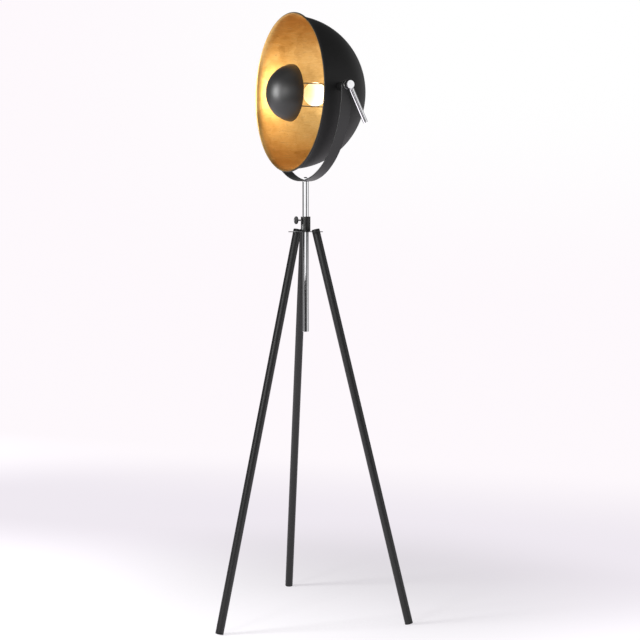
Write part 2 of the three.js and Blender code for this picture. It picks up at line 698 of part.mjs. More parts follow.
function makeShade(optics) {
  const hole = NIPPLE_RADIUS + GAP;
  const inner = SHADE_RADIUS - SHADE_WALL;
  const flare = beadRadiusAt - SHADE_RADIUS;

  const shell = turned(
    [
      ...domeProfile(SHADE_RADIUS, hole),
      [SHADE_RADIUS + flare * 0.3, beadForward - BEAD_RADIUS * 0.75],
      ...arc(beadRadiusAt, beadForward, BEAD_RADIUS, -120, 120, 5),
      [inner + flare * 0.35, beadForward + BEAD_RADIUS * 0.2],
      ...domeProfile(inner, hole).reverse(),
      domeProfile(SHADE_RADIUS, hole)[0],
    ],
    SHADE_SIDES,
  );

  // The gilded liner follows the dome and the lip, and laps over the rolled edge to its crest
  const overlap = BEAD_RADIUS + GAP;
  const liner = turned(
    [
      ...domeProfile(linerOuter, hole),
      [linerOuter + flare * 0.35, beadForward + BEAD_RADIUS * 0.2 + GAP],
      ...arc(beadRadiusAt, beadForward, overlap, 120, 85, 2),
      ...arc(beadRadiusAt, beadForward, overlap + LINER_WALL, 85, 120, 2),
      [linerInner + flare * 0.35, beadForward + BEAD_RADIUS * 0.2 + GAP + LINER_WALL],
      ...domeProfile(linerInner, hole).reverse(),
      domeProfile(linerOuter, hole)[0],
    ],
    SHADE_SIDES,
  );

  // Holes for the two clamping bolts and the two screws of the rear cover
  const boltHole = bar(PIVOT_RADIUS + GAP, -SHADE_RADIUS - 1, SHADE_RADIUS + 1).rotateY(QUARTER_TURN);
  const screwHole = (side) =>
    bar(REAR_SCREW_RADIUS + GAP, -SHADE_RADIUS, SHADE_OFFSET - SHADE_RADIUS + 20, 12)
      .translate(side * REAR_SCREW_CIRCLE, 0, 0);
  const holes = () => [boltHole, screwHole(1), screwHole(-1)];
  add(optics, 'shade_shell', cut(shell, ...holes()), blackShade);
  add(optics, 'shade_liner', cut(liner, ...holes()), goldLeaf);
}

/** How far forward the dome's outside lies at a distance from the shade's axis, at its back. */
const domeBackAt = (radius) => SHADE_OFFSET - Math.sqrt(SHADE_RADIUS ** 2 - radius ** 2);

const rearCoverRim = domeBackAt(REAR_COVER_RADIUS - REAR_COVER_WALL) - GAP;
const rearCoverBack = rearCoverRim - REAR_COVER_DEPTH;

function makeRearCover(optics) {
  const inner = REAR_COVER_RADIUS - REAR_COVER_WALL;
  const floor = rearCoverBack + REAR_COVER_WALL;
  const round = REAR_COVER_ROUND;
  const shell = turned(
    [
      [0, rearCoverBack],
      ...arc(REAR_COVER_RADIUS - round, rearCoverBack + round, round, -90, 0, 3),
      [REAR_COVER_RADIUS, rearCoverRim],
      [inner, rearCoverRim],
      ...arc(inner - round, floor + round, round, 0, -90, 3),
      [0, floor],
    ],
    24,
  );
  const screwHole = (side) =>
    bar(REAR_SCREW_RADIUS + GAP, rearCoverBack - GAP, floor + GAP, 12)
      .translate(side * REAR_SCREW_CIRCLE, 0, 0);
  const glandAt = rearCoverRim - (REAR_COVER_DEPTH - round) / 2;
  const neck = GLAND_NECK_RADIUS;
  const glandHole = bar(neck + GAP, inner - GLAND_INSIDE, 2 * REAR_COVER_RADIUS, 16)
    .rotateX(QUARTER_TURN)
    .translate(0, 0, glandAt);
  add(optics, 'rear_cover', cut(shell, screwHole(1), screwHole(-1), glandHole), blackShade);

  // Cord gland, on the lower side of the cover
  const gland = turned(
    [
      [GLAND_BORE, inner - GLAND_INSIDE],
      [neck, inner - GLAND_INSIDE],
      [neck, REAR_COVER_RADIUS + GAP],
      [GLAND_RADIUS, REAR_COVER_RADIUS + GAP],
      [GLAND_RADIUS, REAR_COVER_RADIUS + GLAND_LENGTH * 0.5],
      [GLAND_BORE + GLAND_TIP_WALL, REAR_COVER_RADIUS + GLAND_LENGTH],
      [GLAND_BORE, REAR_COVER_RADIUS + GLAND_LENGTH],
      [GLAND_BORE, inner - GLAND_INSIDE],
    ],
    16,
  );
  gland.rotateX(QUARTER_TURN).translate(0, 0, glandAt);
  add(optics, 'cord_gland', gland, blackPlastic);

  [1, -1].forEach((side, i) => {
    const headIn = rearCoverBack - GAP;
    const screwEnd = rodPlateBack - REAR_SCREW_CLEARANCE;
    const screw = turned(
      [
        [0, headIn - REAR_SCREW_HEAD_HEIGHT],
        [REAR_SCREW_HEAD_RADIUS * 0.8, headIn - REAR_SCREW_HEAD_HEIGHT],
        [REAR_SCREW_HEAD_RADIUS, headIn - REAR_SCREW_HEAD_HEIGHT * 0.4],
        [REAR_SCREW_HEAD_RADIUS, headIn],
        [REAR_SCREW_RADIUS, headIn],
        [REAR_SCREW_RADIUS, screwEnd],
        [0, screwEnd],
      ],
      12,
    ).translate(side * REAR_SCREW_CIRCLE, 0, 0);
    add(optics, `rear_screw_${i + 1}`, screw, zinc);
  });

  const [width, height, depth] = TERMINAL_BLOCK;
  const block = new THREE.BoxGeometry(width, height, depth).translate(
    0,
    NIPPLE_NUT_RADIUS + TERMINAL_BLOCK_CLEARANCE + height / 2,
    floor + TERMINAL_BLOCK_CLEARANCE + depth / 2,
  );
  add(optics, 'terminal_block', closed(block), nylon);
}

// ---------------------------------------------------------------------------
// Lampholder and bulb
// ---------------------------------------------------------------------------

function makeLampholder(optics) {
  const hole = NIPPLE_RADIUS + GAP;
  const nippleFront = holderBack + HOLDER_BASE - NIPPLE_RECESS;
  const rearNutFront = domeBackAt(0) - GAP;
  const rearNutBack = rearNutFront - NIPPLE_NUT_HEIGHT;
  const nippleBack = rearNutBack - NIPPLE_TAIL;
  add(optics, 'nipple', tube(NIPPLE_RADIUS, NIPPLE_BORE, nippleBack, nippleFront), zinc);
  add(optics, 'nipple_nut_rear', hexNut(NIPPLE_NUT_RADIUS, hole, rearNutBack, rearNutFront), zinc);
  add(
    optics,
    'nipple_nut_front',
    hexNut(NIPPLE_NUT_RADIUS, hole, frontNutBack, frontNutBack + NIPPLE_NUT_HEIGHT),
    zinc,
  );

  const cavity = HOLDER_RADIUS - HOLDER_WALL;
  const cavityBack = holderBack + HOLDER_BASE;
  const [inwards, forwards] = HOLDER_SHOULDER;
  add(
    optics,
    'lampholder_body',
    turned(
      [
        [hole, holderBack],
        [HOLDER_RADIUS - inwards, holderBack],
        [HOLDER_RADIUS, holderBack + forwards],
        [HOLDER_RADIUS, holderFront],
        [cavity, holderFront],
        [cavity, cavityBack],
        [hole, cavityBack],
        [hole, holderBack],
      ],
      20,
    ),
    ceramic,
  );
  const ringFront = holderFront - HOLDER_RING_SETBACK;
  add(
    optics,
    'lampholder_ring',
    tube(HOLDER_RING_RADIUS, HOLDER_RADIUS + GAP, ringFront - HOLDER_RING_LENGTH, ringFront, 20),
    blackPlastic,
  );

  const shellInner = BULB_BASE_RADIUS + GAP;
  const shellOuter = shellInner + SCREW_SHELL_WALL;
  const shellBack = bulbBack - SCREW_SHELL_TAIL;
  const screwShell = tube(shellOuter, shellInner, shellBack, holderFront - SCREW_SHELL_RECESS, 20);
  add(optics, 'lampholder_screw_shell', screwShell, brass);

  // A springy brass tongue, folded so that it presses on the bulb's tip
  const tongue = new THREE.Shape();
  const low = cavityBack + GAP;
  const high = bulbBack - GAP;
  const [footIn, footOut] = TONGUE_FOOT;
  tongue.moveTo(footIn, low);
  tongue.lineTo(footOut, low);
  tongue.lineTo(footOut, low + TONGUE_THICKNESS);
  tongue.lineTo(footIn + 1.5 * TONGUE_THICKNESS, low + TONGUE_THICKNESS);
  tongue.lineTo(TONGUE_TIP, high);
  tongue.lineTo(-TONGUE_TIP, high);
  tongue.lineTo(-TONGUE_TIP, high - TONGUE_THICKNESS);
  tongue.lineTo(TONGUE_TIP - TONGUE_THICKNESS / 2, high - TONGUE_THICKNESS);
  tongue.closePath();
  const contact = extruded(tongue, -TONGUE_WIDTH / 2, TONGUE_WIDTH / 2).rotateX(QUARTER_TURN);
  add(optics, 'lampholder_contact', contact, brass);
}

function makeBulb(optics) {
  const bulb = new THREE.Group();
  bulb.position.z = bulbBack;
  optics.add(bulb);

  const baseBack = BULB_CONTACT_LENGTH + GAP;
  const baseFront = baseBack + BULB_BASE_LENGTH;
  const globe = BULB_LENGTH - BULB_RADIUS;
  const baseBore = BULB_BASE_RADIUS - BULB_BASE_WALL;
  const neck = baseBore - GAP;
  const glassBack = baseFront - BULB_GLASS_IN_BASE;

  /** Outline of the glass, from the neck round to the tip, set in by the given thickness. */
  const outline = (inset) => [
    [neck - inset, glassBack],
    [neck - inset, baseFront + BULB_NECK_LENGTH],
    ...BULB_SHOULDERS.map(([out, back]) => [neck + out - inset, globe - back]),
    ...arc(0, globe, BULB_RADIUS - inset, -32, 90, 7),
  ];
  const envelope = turned([...outline(0), ...outline(BULB_GLASS).reverse(), outline(0)[0]], 20);
  add(bulb, 'bulb_glass', envelope, frostedGlass);

  add(
    bulb,
    'bulb_base',
    turned(
      [
        [0, baseBack],
        [BULB_BASE_END_RADIUS, baseBack],
        [BULB_BASE_RADIUS, baseBack + BULB_BASE_TAPER],
        [BULB_BASE_RADIUS, baseFront],
        [baseBore, baseFront],
        [baseBore, baseBack + BULB_BASE_TAPER + BULB_BASE_WALL],
        [BULB_BASE_END_RADIUS, baseBack + 2 * BULB_BASE_WALL],
        [0, baseBack + 2 * BULB_BASE_WALL],
      ],
      20,
    ),
    zinc,
  );
  add(bulb, 'bulb_contact', bar(BULB_CONTACT_RADIUS, 0, BULB_CONTACT_LENGTH, 12), brass);
}

// ---------------------------------------------------------------------------
// Glare cap
// ---------------------------------------------------------------------------

function makeGlareCap(optics) {
  const sink = THREE.MathUtils.radToDeg(Math.asin(GLARE_CAP_SINK / GLARE_CAP_RADIUS));
  const inner = GLARE_CAP_RADIUS - GLARE_CAP_WALL;
  const innerSink = THREE.MathUtils.radToDeg(Math.asin(GLARE_CAP_SINK / inner));
  const cap = turned(
    [
      ...arc(0, glareCapCentre, GLARE_CAP_RADIUS, sink, 90, 8),
      ...arc(0, glareCapCentre, inner, 90, innerSink, 8),
      arc(0, glareCapCentre, GLARE_CAP_RADIUS, sink, 90, 8)[0],
    ],
    GLARE_CAP_SIDES,
  );
  add(optics, 'glare_cap', cap, blackPaint);

  // Spider: a flat ring with one arm to the cap at each rod
  const ringInner = ROD_CIRCLE - SPIDER_RING_WIDTH / 2;
  const ringOuter = ROD_CIRCLE + SPIDER_RING_WIDTH / 2;
  const capSag = inner * (1 - Math.cos(Math.PI / GLARE_CAP_SIDES)) * 2;
  const armTip = Math.sqrt(inner ** 2 - (spiderFront - glareCapCentre) ** 2) - capSag - GAP;
  const armLength = armTip - ROD_CIRCLE;
  const arms = ROD_ANGLES.map((angle) =>
    closed(new THREE.BoxGeometry(armLength, SPIDER_ARM_WIDTH, SPIDER_THICKNESS))
      .translate(ROD_CIRCLE + armLength / 2, 0, (spiderBack + spiderFront) / 2)
      .rotateZ(radians(angle)),
  );
  const roundEnds = bar(armTip, spiderBack - GAP, spiderFront + GAP, 32);
  const ring = tube(ringOuter, ringInner, spiderBack, spiderFront, 24);
  const rodHoles = ROD_ANGLES.map((angle) =>
    bar(ROD_RADIUS + GAP, spiderBack - GAP, spiderFront + GAP, 10)
      .translate(ROD_CIRCLE, 0, 0)
      .rotateZ(radians(angle)),
  );
  const spider = joined(ring, common(joined(...arms), roundEnds));
  add(optics, 'glare_cap_spider', cut(spider, ...rodHoles), blackPaint);
}

function makeRods(optics) {
  const onCircle = (geometry, angle) =>
    geometry.translate(ROD_CIRCLE, 0, 0).rotateZ(radians(angle));

  const plate = bar(ROD_PLATE_RADIUS, rodPlateBack, rodPlateFront, 24);
  const nippleHole = bar(NIPPLE_RADIUS + GAP, rodPlateBack - GAP, rodPlateFront + GAP, 12);
  const rodHoles = ROD_ANGLES.map((angle) =>
    onCircle(bar(ROD_RADIUS + GAP, rodPlateBack - GAP, rodPlateFront + GAP, 10), angle),
  );
  add(optics, 'rod_plate', cut(plate, nippleHole, ...rodHoles), blackPaint);

  const nutBack = spiderFront + GAP;
  const rodFront = nutBack + ROD_NUT_HEIGHT + ROD_TAIL;
  const rearShoulder = rodPlateFront + GAP;
  const frontShoulder = spiderBack - GAP;
  ROD_ANGLES.forEach((angle, i) => {
    const rod = turned(
      [
        [0, rodPlateBack],
        [ROD_RADIUS, rodPlateBack],
        [ROD_RADIUS, rearShoulder],
        [ROD_SHOULDER_RADIUS, rearShoulder],
        [ROD_SHOULDER_RADIUS, rearShoulder + ROD_SHOULDER_LENGTH],
        [ROD_RADIUS, rearShoulder + ROD_SHOULDER_LENGTH],
        [ROD_RADIUS, frontShoulder - ROD_SHOULDER_LENGTH],
        [ROD_SHOULDER_RADIUS, frontShoulder - ROD_SHOULDER_LENGTH],
        [ROD_SHOULDER_RADIUS, frontShoulder],
        [ROD_RADIUS, frontShoulder],
        [ROD_RADIUS, rodFront],
        [0, rodFront],
      ],
      8,
    );
    add(optics, `rod_${i + 1}`, onCircle(rod, angle), blackPaint);
    const nut = hexNut(ROD_NUT_RADIUS, ROD_RADIUS + GAP, nutBack, nutBack + ROD_NUT_HEIGHT);
    add(optics, `rod_nut_${i + 1}`, onCircle(nut, angle), zinc);
  });
}

// ---------------------------------------------------------------------------
// The whole lamp
// ---------------------------------------------------------------------------

/** Everything that tilts. Inside optics, Z points out of the shade and Y points up. */
function makeHead() {
  const head = new THREE.Group();
  head.position.z = pivotHeight;
  makePivot(head, 1, 'lever_side', leverBoltEnd);
  makePivot(head, -1, 'nut_side', domeNutBoltEnd);
  makeLeverSleeve(head);
  makeDomeNut(head);

  const optics = new THREE.Group();
  optics.rotation.x = QUARTER_TURN;
  head.add(optics);
  makeShade(optics);
  makeRearCover(optics);
  makeLampholder(optics);
  makeBulb(optics);
  makeRods(optics);
  makeGlareCap(optics);
  return head;
}

const lamp = new THREE.Group();
lamp.add(makeStand(), makeThumbScrew(), makePole(), makeYoke(), makeHead(), makeLever());

export default lamp;
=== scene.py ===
import json
from math import asin, atan2, cos, pi, radians, sin, sqrt

import bmesh
import bpy
from mathutils import Matrix, Vector

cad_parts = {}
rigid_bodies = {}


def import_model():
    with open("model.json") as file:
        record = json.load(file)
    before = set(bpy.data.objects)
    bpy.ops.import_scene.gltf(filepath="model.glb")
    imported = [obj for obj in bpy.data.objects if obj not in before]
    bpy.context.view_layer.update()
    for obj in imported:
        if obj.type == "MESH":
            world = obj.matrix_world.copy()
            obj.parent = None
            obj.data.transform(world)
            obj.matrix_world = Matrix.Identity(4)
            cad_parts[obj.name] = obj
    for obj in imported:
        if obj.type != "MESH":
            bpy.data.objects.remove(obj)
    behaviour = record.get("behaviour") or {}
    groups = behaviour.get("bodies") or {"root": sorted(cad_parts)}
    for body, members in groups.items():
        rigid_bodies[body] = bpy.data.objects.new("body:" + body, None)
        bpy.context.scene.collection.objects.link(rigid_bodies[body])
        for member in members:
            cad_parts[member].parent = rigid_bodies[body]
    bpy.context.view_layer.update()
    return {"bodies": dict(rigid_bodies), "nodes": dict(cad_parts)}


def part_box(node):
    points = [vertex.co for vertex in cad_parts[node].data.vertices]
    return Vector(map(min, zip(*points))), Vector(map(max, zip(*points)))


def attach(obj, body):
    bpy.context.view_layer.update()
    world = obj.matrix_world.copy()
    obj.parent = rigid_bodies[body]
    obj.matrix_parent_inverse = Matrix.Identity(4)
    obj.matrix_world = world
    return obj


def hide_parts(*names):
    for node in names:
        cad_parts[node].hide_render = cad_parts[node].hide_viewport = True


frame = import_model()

# ---------------------------------------------------------------------------
# The studio: pale seamless paper that fades into a white room, a tall softbox on the left, a small
# one in front, weak lights behind and overhead, two black cards for the chrome, and the camera.
# ---------------------------------------------------------------------------
CAMERA_PLACE = (3.0418, -1.5266, 0.9943)
CAMERA_AHEAD = Vector((-0.88694574, 0.45726506, -0.06508396))
LENS = 74.18  # mm, on a 36 mm sensor

camera = bpy.data.objects.new("camera", bpy.data.cameras.new("camera"))
camera.location = CAMERA_PLACE
camera.rotation_euler = CAMERA_AHEAD.to_track_quat("-Z", "Y").to_euler()
camera.data.lens = LENS
camera.data.sensor_width = 36
camera.data.clip_end = 60
bpy.context.collection.objects.link(camera)
bpy.context.scene.camera = camera
bpy.context.scene.view_settings.view_transform = "Standard"
bpy.context.scene.view_settings.look = "None"


class Wire:
    """What comes out of one shader node, so that sums on values read as plain sums."""

    def __init__(self, finish, socket):
        self.finish, self.socket = finish, socket

    def _sum(self, operation, first, second):
        return self.finish.node("Math", {"operation": operation}, {0: first, 1: second})

    def __add__(self, other):
        return self._sum("ADD", self, other)

    def __sub__(self, other):
        return self._sum("SUBTRACT", self, other)

    def __rsub__(self, other):
        return self._sum("SUBTRACT", other, self)

    def __mul__(self, other):
        return self._sum("MULTIPLY", self, other)

    def __truediv__(self, other):
        return self._sum("DIVIDE", self, other)

    def __rtruediv__(self, other):
        return self._sum("DIVIDE", other, self)

    __radd__, __rmul__ = __add__, __mul__


class Finish:
    """The node tree of one material, or of the room."""

    def __init__(self, owner):
        self.owner = owner
        owner.use_nodes = True
        self.tree = owner.node_tree
        self.tree.nodes.clear()

    def node(self, kind, settings=(), inputs=(), output=0):
        """Adds a node of that kind, sets its settings first, then its sockets' values or links."""
        made = self.tree.nodes.new("ShaderNode" + kind)
        for name, value in dict(settings).items():
            if name == "stops":
                ramp = made.color_ramp.elements
                ramp.remove(ramp[1])
                ramp[0].position, ramp[0].color = value[0]
                for place, colour in value[1:]:
                    ramp.new(place).color = colour
            else:
                setattr(made, name, value)
        for name, value in dict(inputs).items():
            if isinstance(value, Wire):
                self.tree.links.new(value.socket, made.inputs[name])
            else:
                made.inputs[name].default_value = value
        return Wire(self, made.outputs[output]) if made.outputs else self.owner

    def axes(self, vector):
        """The three numbers of a vector."""
        split = self.node("SeparateXYZ", {}, {0: vector})
        return [Wire(self, socket) for socket in split.socket.node.outputs]

    def mix(self, factor, first, second):
        """A colour between two colours."""
        return self.node("Mix", {"data_type": "RGBA"}, {0: factor, 6: first, 7: second}, output=2)

    def place(self, stretch=(1, 1, 1), shift=(0, 0, 0)):
        """Where a point of the piece lies in the lamp's own frame, stretched and shifted."""
        here = self.node("TexCoord", output=3)
        return self.node("Mapping", {}, {0: here, 1: shift, 3: stretch})

    def noise(self, size, detail=3, roughness=0.5, stretch=(1, 1, 1), distortion=0.0):
        """Cloudy variation from 0 to 1, its blotches about size metres across."""
        scale = 1 / size
        sockets = {
            "Vector": self.place([scale * s for s in stretch]),
            "Scale": 1.0,
            "Detail": detail,
            "Roughness": roughness,
            "Distortion": distortion,
        }
        return self.node("TexNoise", {}, sockets)

    def ramp(self, value, *stops):
        """A colour picked by a value, from (place, colour) stops."""
        return self.node("ValToRGB", {"stops": stops}, {0: value})

    def band(self, value, low, high):
        """0 below low, 1 above high, and smooth between."""
        sockets = {0: value, 1: low, 2: high, 3: 0.0, 4: 1.0}
        return self.node("MapRange", {"interpolation_type": "SMOOTHSTEP"}, sockets)

    def bump(self, height, distance, strength):
        """Small relief, distance metres high where height is 1."""
        return self.node("Bump", {}, {"Height": height, "Distance": distance, "Strength": strength})

    def surface(self, **sockets):
        """The shader itself; a socket's name is written with _ for its spaces."""
        named = {name.replace("_", " "): value for name, value in sockets.items()}
        return self.out(self.node("BsdfPrincipled", {}, named))

    def out(self, shader):
        """Ends the tree with that shader, and gives back the material or the room."""
        kind = "OutputWorld" if isinstance(self.owner, bpy.types.World) else "OutputMaterial"
        return self.node(kind, {}, {0: shader})


def grey(value):
    return (value, value, value, 1)


# The paper is white in front of the lamp. Painted shade makes it a little greyer where it bends upwards
# behind it, and it fades into the room all round. The distances are in metres, behind the pole or from it.
FLOOR_REACH, FLOOR_SIDES = 6.5, 64
ROOM_WHITE = (0.990, 0.945, 0.978, 1)
FLOOR_WHITE = (1.42, 1.38, 1.44, 1)
# painted shade: the grey that the paper's glow turns to at its bend
BEND_PAINTED_SHADE = (0.865, 0.820, 0.880, 1)
BEND_TOWARDS = (-0.695, 0.830)
BEND_BEHIND, BEND_ENDS = (-0.45, 0.80), (2.0, 4.0)
ROOM_BEHIND, ROOM_ROUND = (1.1, 2.6), (3.5, 6.2)
SHADOW_ENDS, OWN_LIGHT = (0.25, 1.2), 0.55

floor_mesh = bpy.data.meshes.new("studio_floor")
floor_turns = [2 * pi * k / FLOOR_SIDES for k in range(FLOOR_SIDES)]
floor_outline = [(FLOOR_REACH * cos(a), FLOOR_REACH * sin(a), 0) for a in floor_turns]
floor_mesh.from_pydata(floor_outline, [], [range(FLOOR_SIDES)])
studio_floor = bpy.data.objects.new("studio_floor", floor_mesh)
bpy.context.collection.objects.link(studio_floor)

seamless = Finish(bpy.data.materials.new("seamless_paper"))
east, north, _ = seamless.axes(seamless.place())
distance = seamless.node("Math", {"operation": "SQRT"}, {0: east * east + north * north})
behind = east * BEND_TOWARDS[0] + north * BEND_TOWARDS[1]
# Painted shade: the emitted colour turns greyer where the paper bends upwards behind the lamp.
painted_bend_shade = seamless.band(behind, *BEND_BEHIND) * (1 - seamless.band(distance, *BEND_ENDS))
paper = seamless.mix(painted_bend_shade, FLOOR_WHITE, BEND_PAINTED_SHADE)
glow = seamless.mix(seamless.band(behind, *ROOM_BEHIND), paper, ROOM_WHITE)
glow = seamless.mix(seamless.band(distance, *ROOM_ROUND), glow, ROOM_WHITE)
matt = seamless.node("BsdfDiffuse", {}, {"Color": grey(0.8)})
lit = seamless.node("Emission", {}, {"Color": glow, "Strength": 1.0})
share = seamless.band(distance, *SHADOW_ENDS) * (1 - OWN_LIGHT) + OWN_LIGHT
floor_mesh.materials.append(
    seamless.out(seamless.node("MixShader", {}, {0: share, 1: matt, 2: lit}))
)

# The room: white to the eye. What the lamp reflects is a grey studio with tall white screens and
# black flags round it, listed by their direction in degrees from +X, anticlockwise.
SCREENS = (
    (-180, 0.30), (-150, 0.12), (-126, 0.12), (-120, 0.03), (-103, 0.03), (-98, 1.25), (-20, 1.25),
    (-12, 0.03), (19, 0.03), (23, 1.15), (60, 1.15), (70, 0.36), (112, 0.36), (126, 0.50), (180, 0.30),
)
SCREEN_STRENGTH = 0.85
CEILING_GREY, UNDER_GREY = 0.14, 0.30
LEFT_OF_LAMP = (0.458, 0.889)

room = Finish(bpy.data.worlds.new("room"))
bpy.context.scene.world = room.owner
ahead = room.node("TexCoord", output=0)
ahead_x, ahead_y, ahead_z = room.axes(ahead)
compass = room.node("Math", {"operation": "ARCTAN2"}, {0: ahead_y, 1: ahead_x}) / (2 * pi) + 0.5
screens = room.ramp(compass, *((place / 360 + 0.5, grey(value)) for place, value in SCREENS))
ceiling = room.mix(room.band(ahead_z, 0.22, 0.60), screens, grey(CEILING_GREY))
studio = room.mix(room.band(ahead_z, -0.55, -0.15), grey(UNDER_GREY), ceiling)
leftwards = room.band(ahead_x * LEFT_OF_LAMP[0] + ahead_y * LEFT_OF_LAMP[1], -0.24, 0.10)
backdrop = room.mix(leftwards * room.band(ahead_z, -0.06, 0.12), ROOM_WHITE, grey(1.0))
seen = room.node("LightPath", output=0)
strength = seen * (1 - SCREEN_STRENGTH) + SCREEN_STRENGTH
colour = room.mix(seen, studio, backdrop)
room.out(room.node("Background", {}, {"Color": colour, "Strength": strength}))


def softbox(name, place, aim, width, height, watts):
    """A flat white light turned to its aim, that the camera doesn't see."""
    lamp = bpy.data.lights.new(name, "AREA")
    lamp.shape, lamp.size, lamp.size_y = "RECTANGLE", width, height
    lamp.energy = watts
    box = bpy.data.objects.new(name, lamp)
    box.location = place
    box.rotation_euler = (Vector(aim) - Vector(place)).to_track_quat("-Z", "Y").to_euler()
    box.visible_camera = False
    bpy.context.collection.objects.link(box)
    return box


key = softbox("left_softbox", (-0.72, -2.85, 1.55), (0, 0, 1.35), 0.8, 1.6, 110)
softbox("rim_light", (-1.30, 2.60, 1.7), (0, 0, 1.1), 0.8, 2.2, 1.5)
softbox("overhead", (0.5, -0.8, 3.3), (0, 0, 0), 1.8, 1.8, 4)
front = softbox("front_softbox", (1.36, -2.70, 1.50), (0, 0, 1.2), 0.6, 0.9, 20)

# Two black cards stand low in front of the lamp, seen only where chrome mirrors them.
flock = Finish(bpy.data.materials.new("black_flock"))
FLOCK = flock.surface(
    Base_Color=flock.mix(flock.noise(0.003), grey(0.035), grey(0.055)),
    Roughness=0.95,
    Specular_IOR_Level=0.1,
)


def black_card(name, place, aim, width, height):
    """A flat black sheet turned to its aim, that nothing but a reflection shows."""
    mesh = bpy.data.meshes.new(name)
    corners = [(x * width / 2, y * height / 2, 0) for x, y in ((-1, -1), (1, -1), (1, 1), (-1, 1))]
    mesh.from_pydata(corners, [], [(0, 1, 2, 3)])
    mesh.materials.append(FLOCK)
    card = bpy.data.objects.new(name, mesh)
    card.location = place
    card.rotation_euler = (Vector(aim) - Vector(place)).to_track_quat("-Z", "Y").to_euler()
    card.visible_camera = card.visible_diffuse = card.visible_shadow = False
    bpy.context.collection.objects.link(card)


black_card("card_for_lever", (1.50, -0.46, 0.50), (0.235, 0.02, 1.20), 1.6, 0.75)
black_card("card_for_pole", (0.70, -1.32, 0.60), (0, 0, 0.60), 1.3, 0.45)

# The two front softboxes are flagged off the chrome, which mirrors the screens alone.
flagged = {}
for box in (key, front):
    flagged[box] = bpy.data.collections.new("flagged_from_" + box.name)
    box.light_linking.receiver_collection = flagged[box]


def flag_off(box, *pieces):
    """Keeps a softbox's light off these pieces."""
    for piece in pieces:
        flagged[box].objects.link(piece)
        flagged[box].collection_objects[-1].light_linking.link_state = "EXCLUDE"


# ---------------------------------------------------------------------------
# The three legs: straight steel tubes, powder-coated black, pushed through the hub plate. A moulded
# plug closes the upper end of each, and a rubber foot with a flat on its sole closes the lower end.
# ---------------------------------------------------------------------------
LEG_TURNS = (43.2, 163.2, 283.2)
LEG_RADIUS = 0.01037
LEG_BORE = 0.00937
LEG_AT_HUB = 0.0285
LEG_AT_FLOOR = 0.2808
HUB_HEIGHT = 1.0
LEG_LEAN = atan2(LEG_AT_FLOOR - LEG_AT_HUB, HUB_HEIGHT)
LEG_TOP = 0.0065 / cos(LEG_LEAN)
LEG_SOLE = -(HUB_HEIGHT - LEG_RADIUS * sin(LEG_LEAN) + 0.0008) / cos(LEG_LEAN)
PLUG_FLANGE, PLUG_LENGTH = 0.0016, 0.012
FOOT_FLANGE, FOOT_LENGTH = 0.003, 0.018
MOULDED_EDGE = 0.0006
JOINT_GAP = 0.0003


def eased(points, ease, loop=False, steps=4):
    """A profile with its corners rounded off by about ease. A point on each side of a corner keeps
    the long straights flat, so that they shade as straight."""
    out = []
    count = len(points)
    for i, corner in enumerate(points):
        if not loop and i in (0, count - 1):
            out.append(tuple(corner))
            continue
        here = Vector(corner)
        before, after = Vector(points[i - 1]) - here, Vector(points[(i + 1) % count]) - here
        start = here + before.normalized() * min(ease, 0.45 * before.length)
        end = here + after.normalized() * min(ease, 0.45 * after.length)
        out.append(tuple(here + before.normalized() * min(3 * ease, 0.48 * before.length)))
        for k in range(steps + 1):
            t = k / steps
            out.append(tuple((1 - t) ** 2 * start + 2 * t * (1 - t) * here + t * t * end))
        out.append(tuple(here + after.normalized() * min(3 * ease, 0.48 * after.length)))
    return out


def made(name, points, faces, finish, body, nodes, slot):
    """A closed piece from its points and faces, with its finish, standing for its CAD nodes."""
    mesh = bpy.data.meshes.new(name)
    mesh.from_pydata(points, [], faces)
    work = bmesh.new()
    work.from_mesh(mesh)
    bmesh.ops.recalc_face_normals(work, faces=work.faces)
    work.to_mesh(mesh)
    work.free()
    mesh.shade_smooth()
    mesh.set_sharp_from_angle(angle=radians(38))
    mesh.materials.append(finish)
    piece = bpy.data.objects.new(name, mesh)
    bpy.context.collection.objects.link(piece)
    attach(piece, body)
    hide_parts(*nodes)
    return piece


def lathe(profile, place=Matrix(), sides=64, shape=None):
    """Points and faces turned round Z from (radius, height) points. A profile that starts off the
    axis closes on itself. shape(radius, height, angle) may give a point another radius and height."""
    points, rings = [], []
    for radius, height in profile:
        ring = []
        for k in range(1 if radius == 0 else sides):
            angle = 2 * pi * k / sides
            r, z = shape(radius, height, angle) if shape and radius else (radius, height)
            ring.append(len(points))
            points.append(place @ Vector((r * cos(angle), r * sin(angle), z)))
        rings.append(ring)
    faces = []
    pairs = list(zip(rings, rings[1:]))
    if profile[0][0]:
        pairs.append((rings[-1], rings[0]))
    for low, high in pairs:
        for k in range(sides):
            below = low[k % len(low)], low[(k + 1) % len(low)]
            above = high[(k + 1) % len(high)], high[k % len(high)]
            face = tuple(dict.fromkeys(below + above))
            if len(face) > 2:
                faces.append(face)
    return points, faces


def sleeve(outer, inner, low, high, ease=0.0004):
    """The profile of a tube with its four edges eased."""
    return eased([(inner, low), (outer, low), (outer, high), (inner, high)], ease, loop=True)


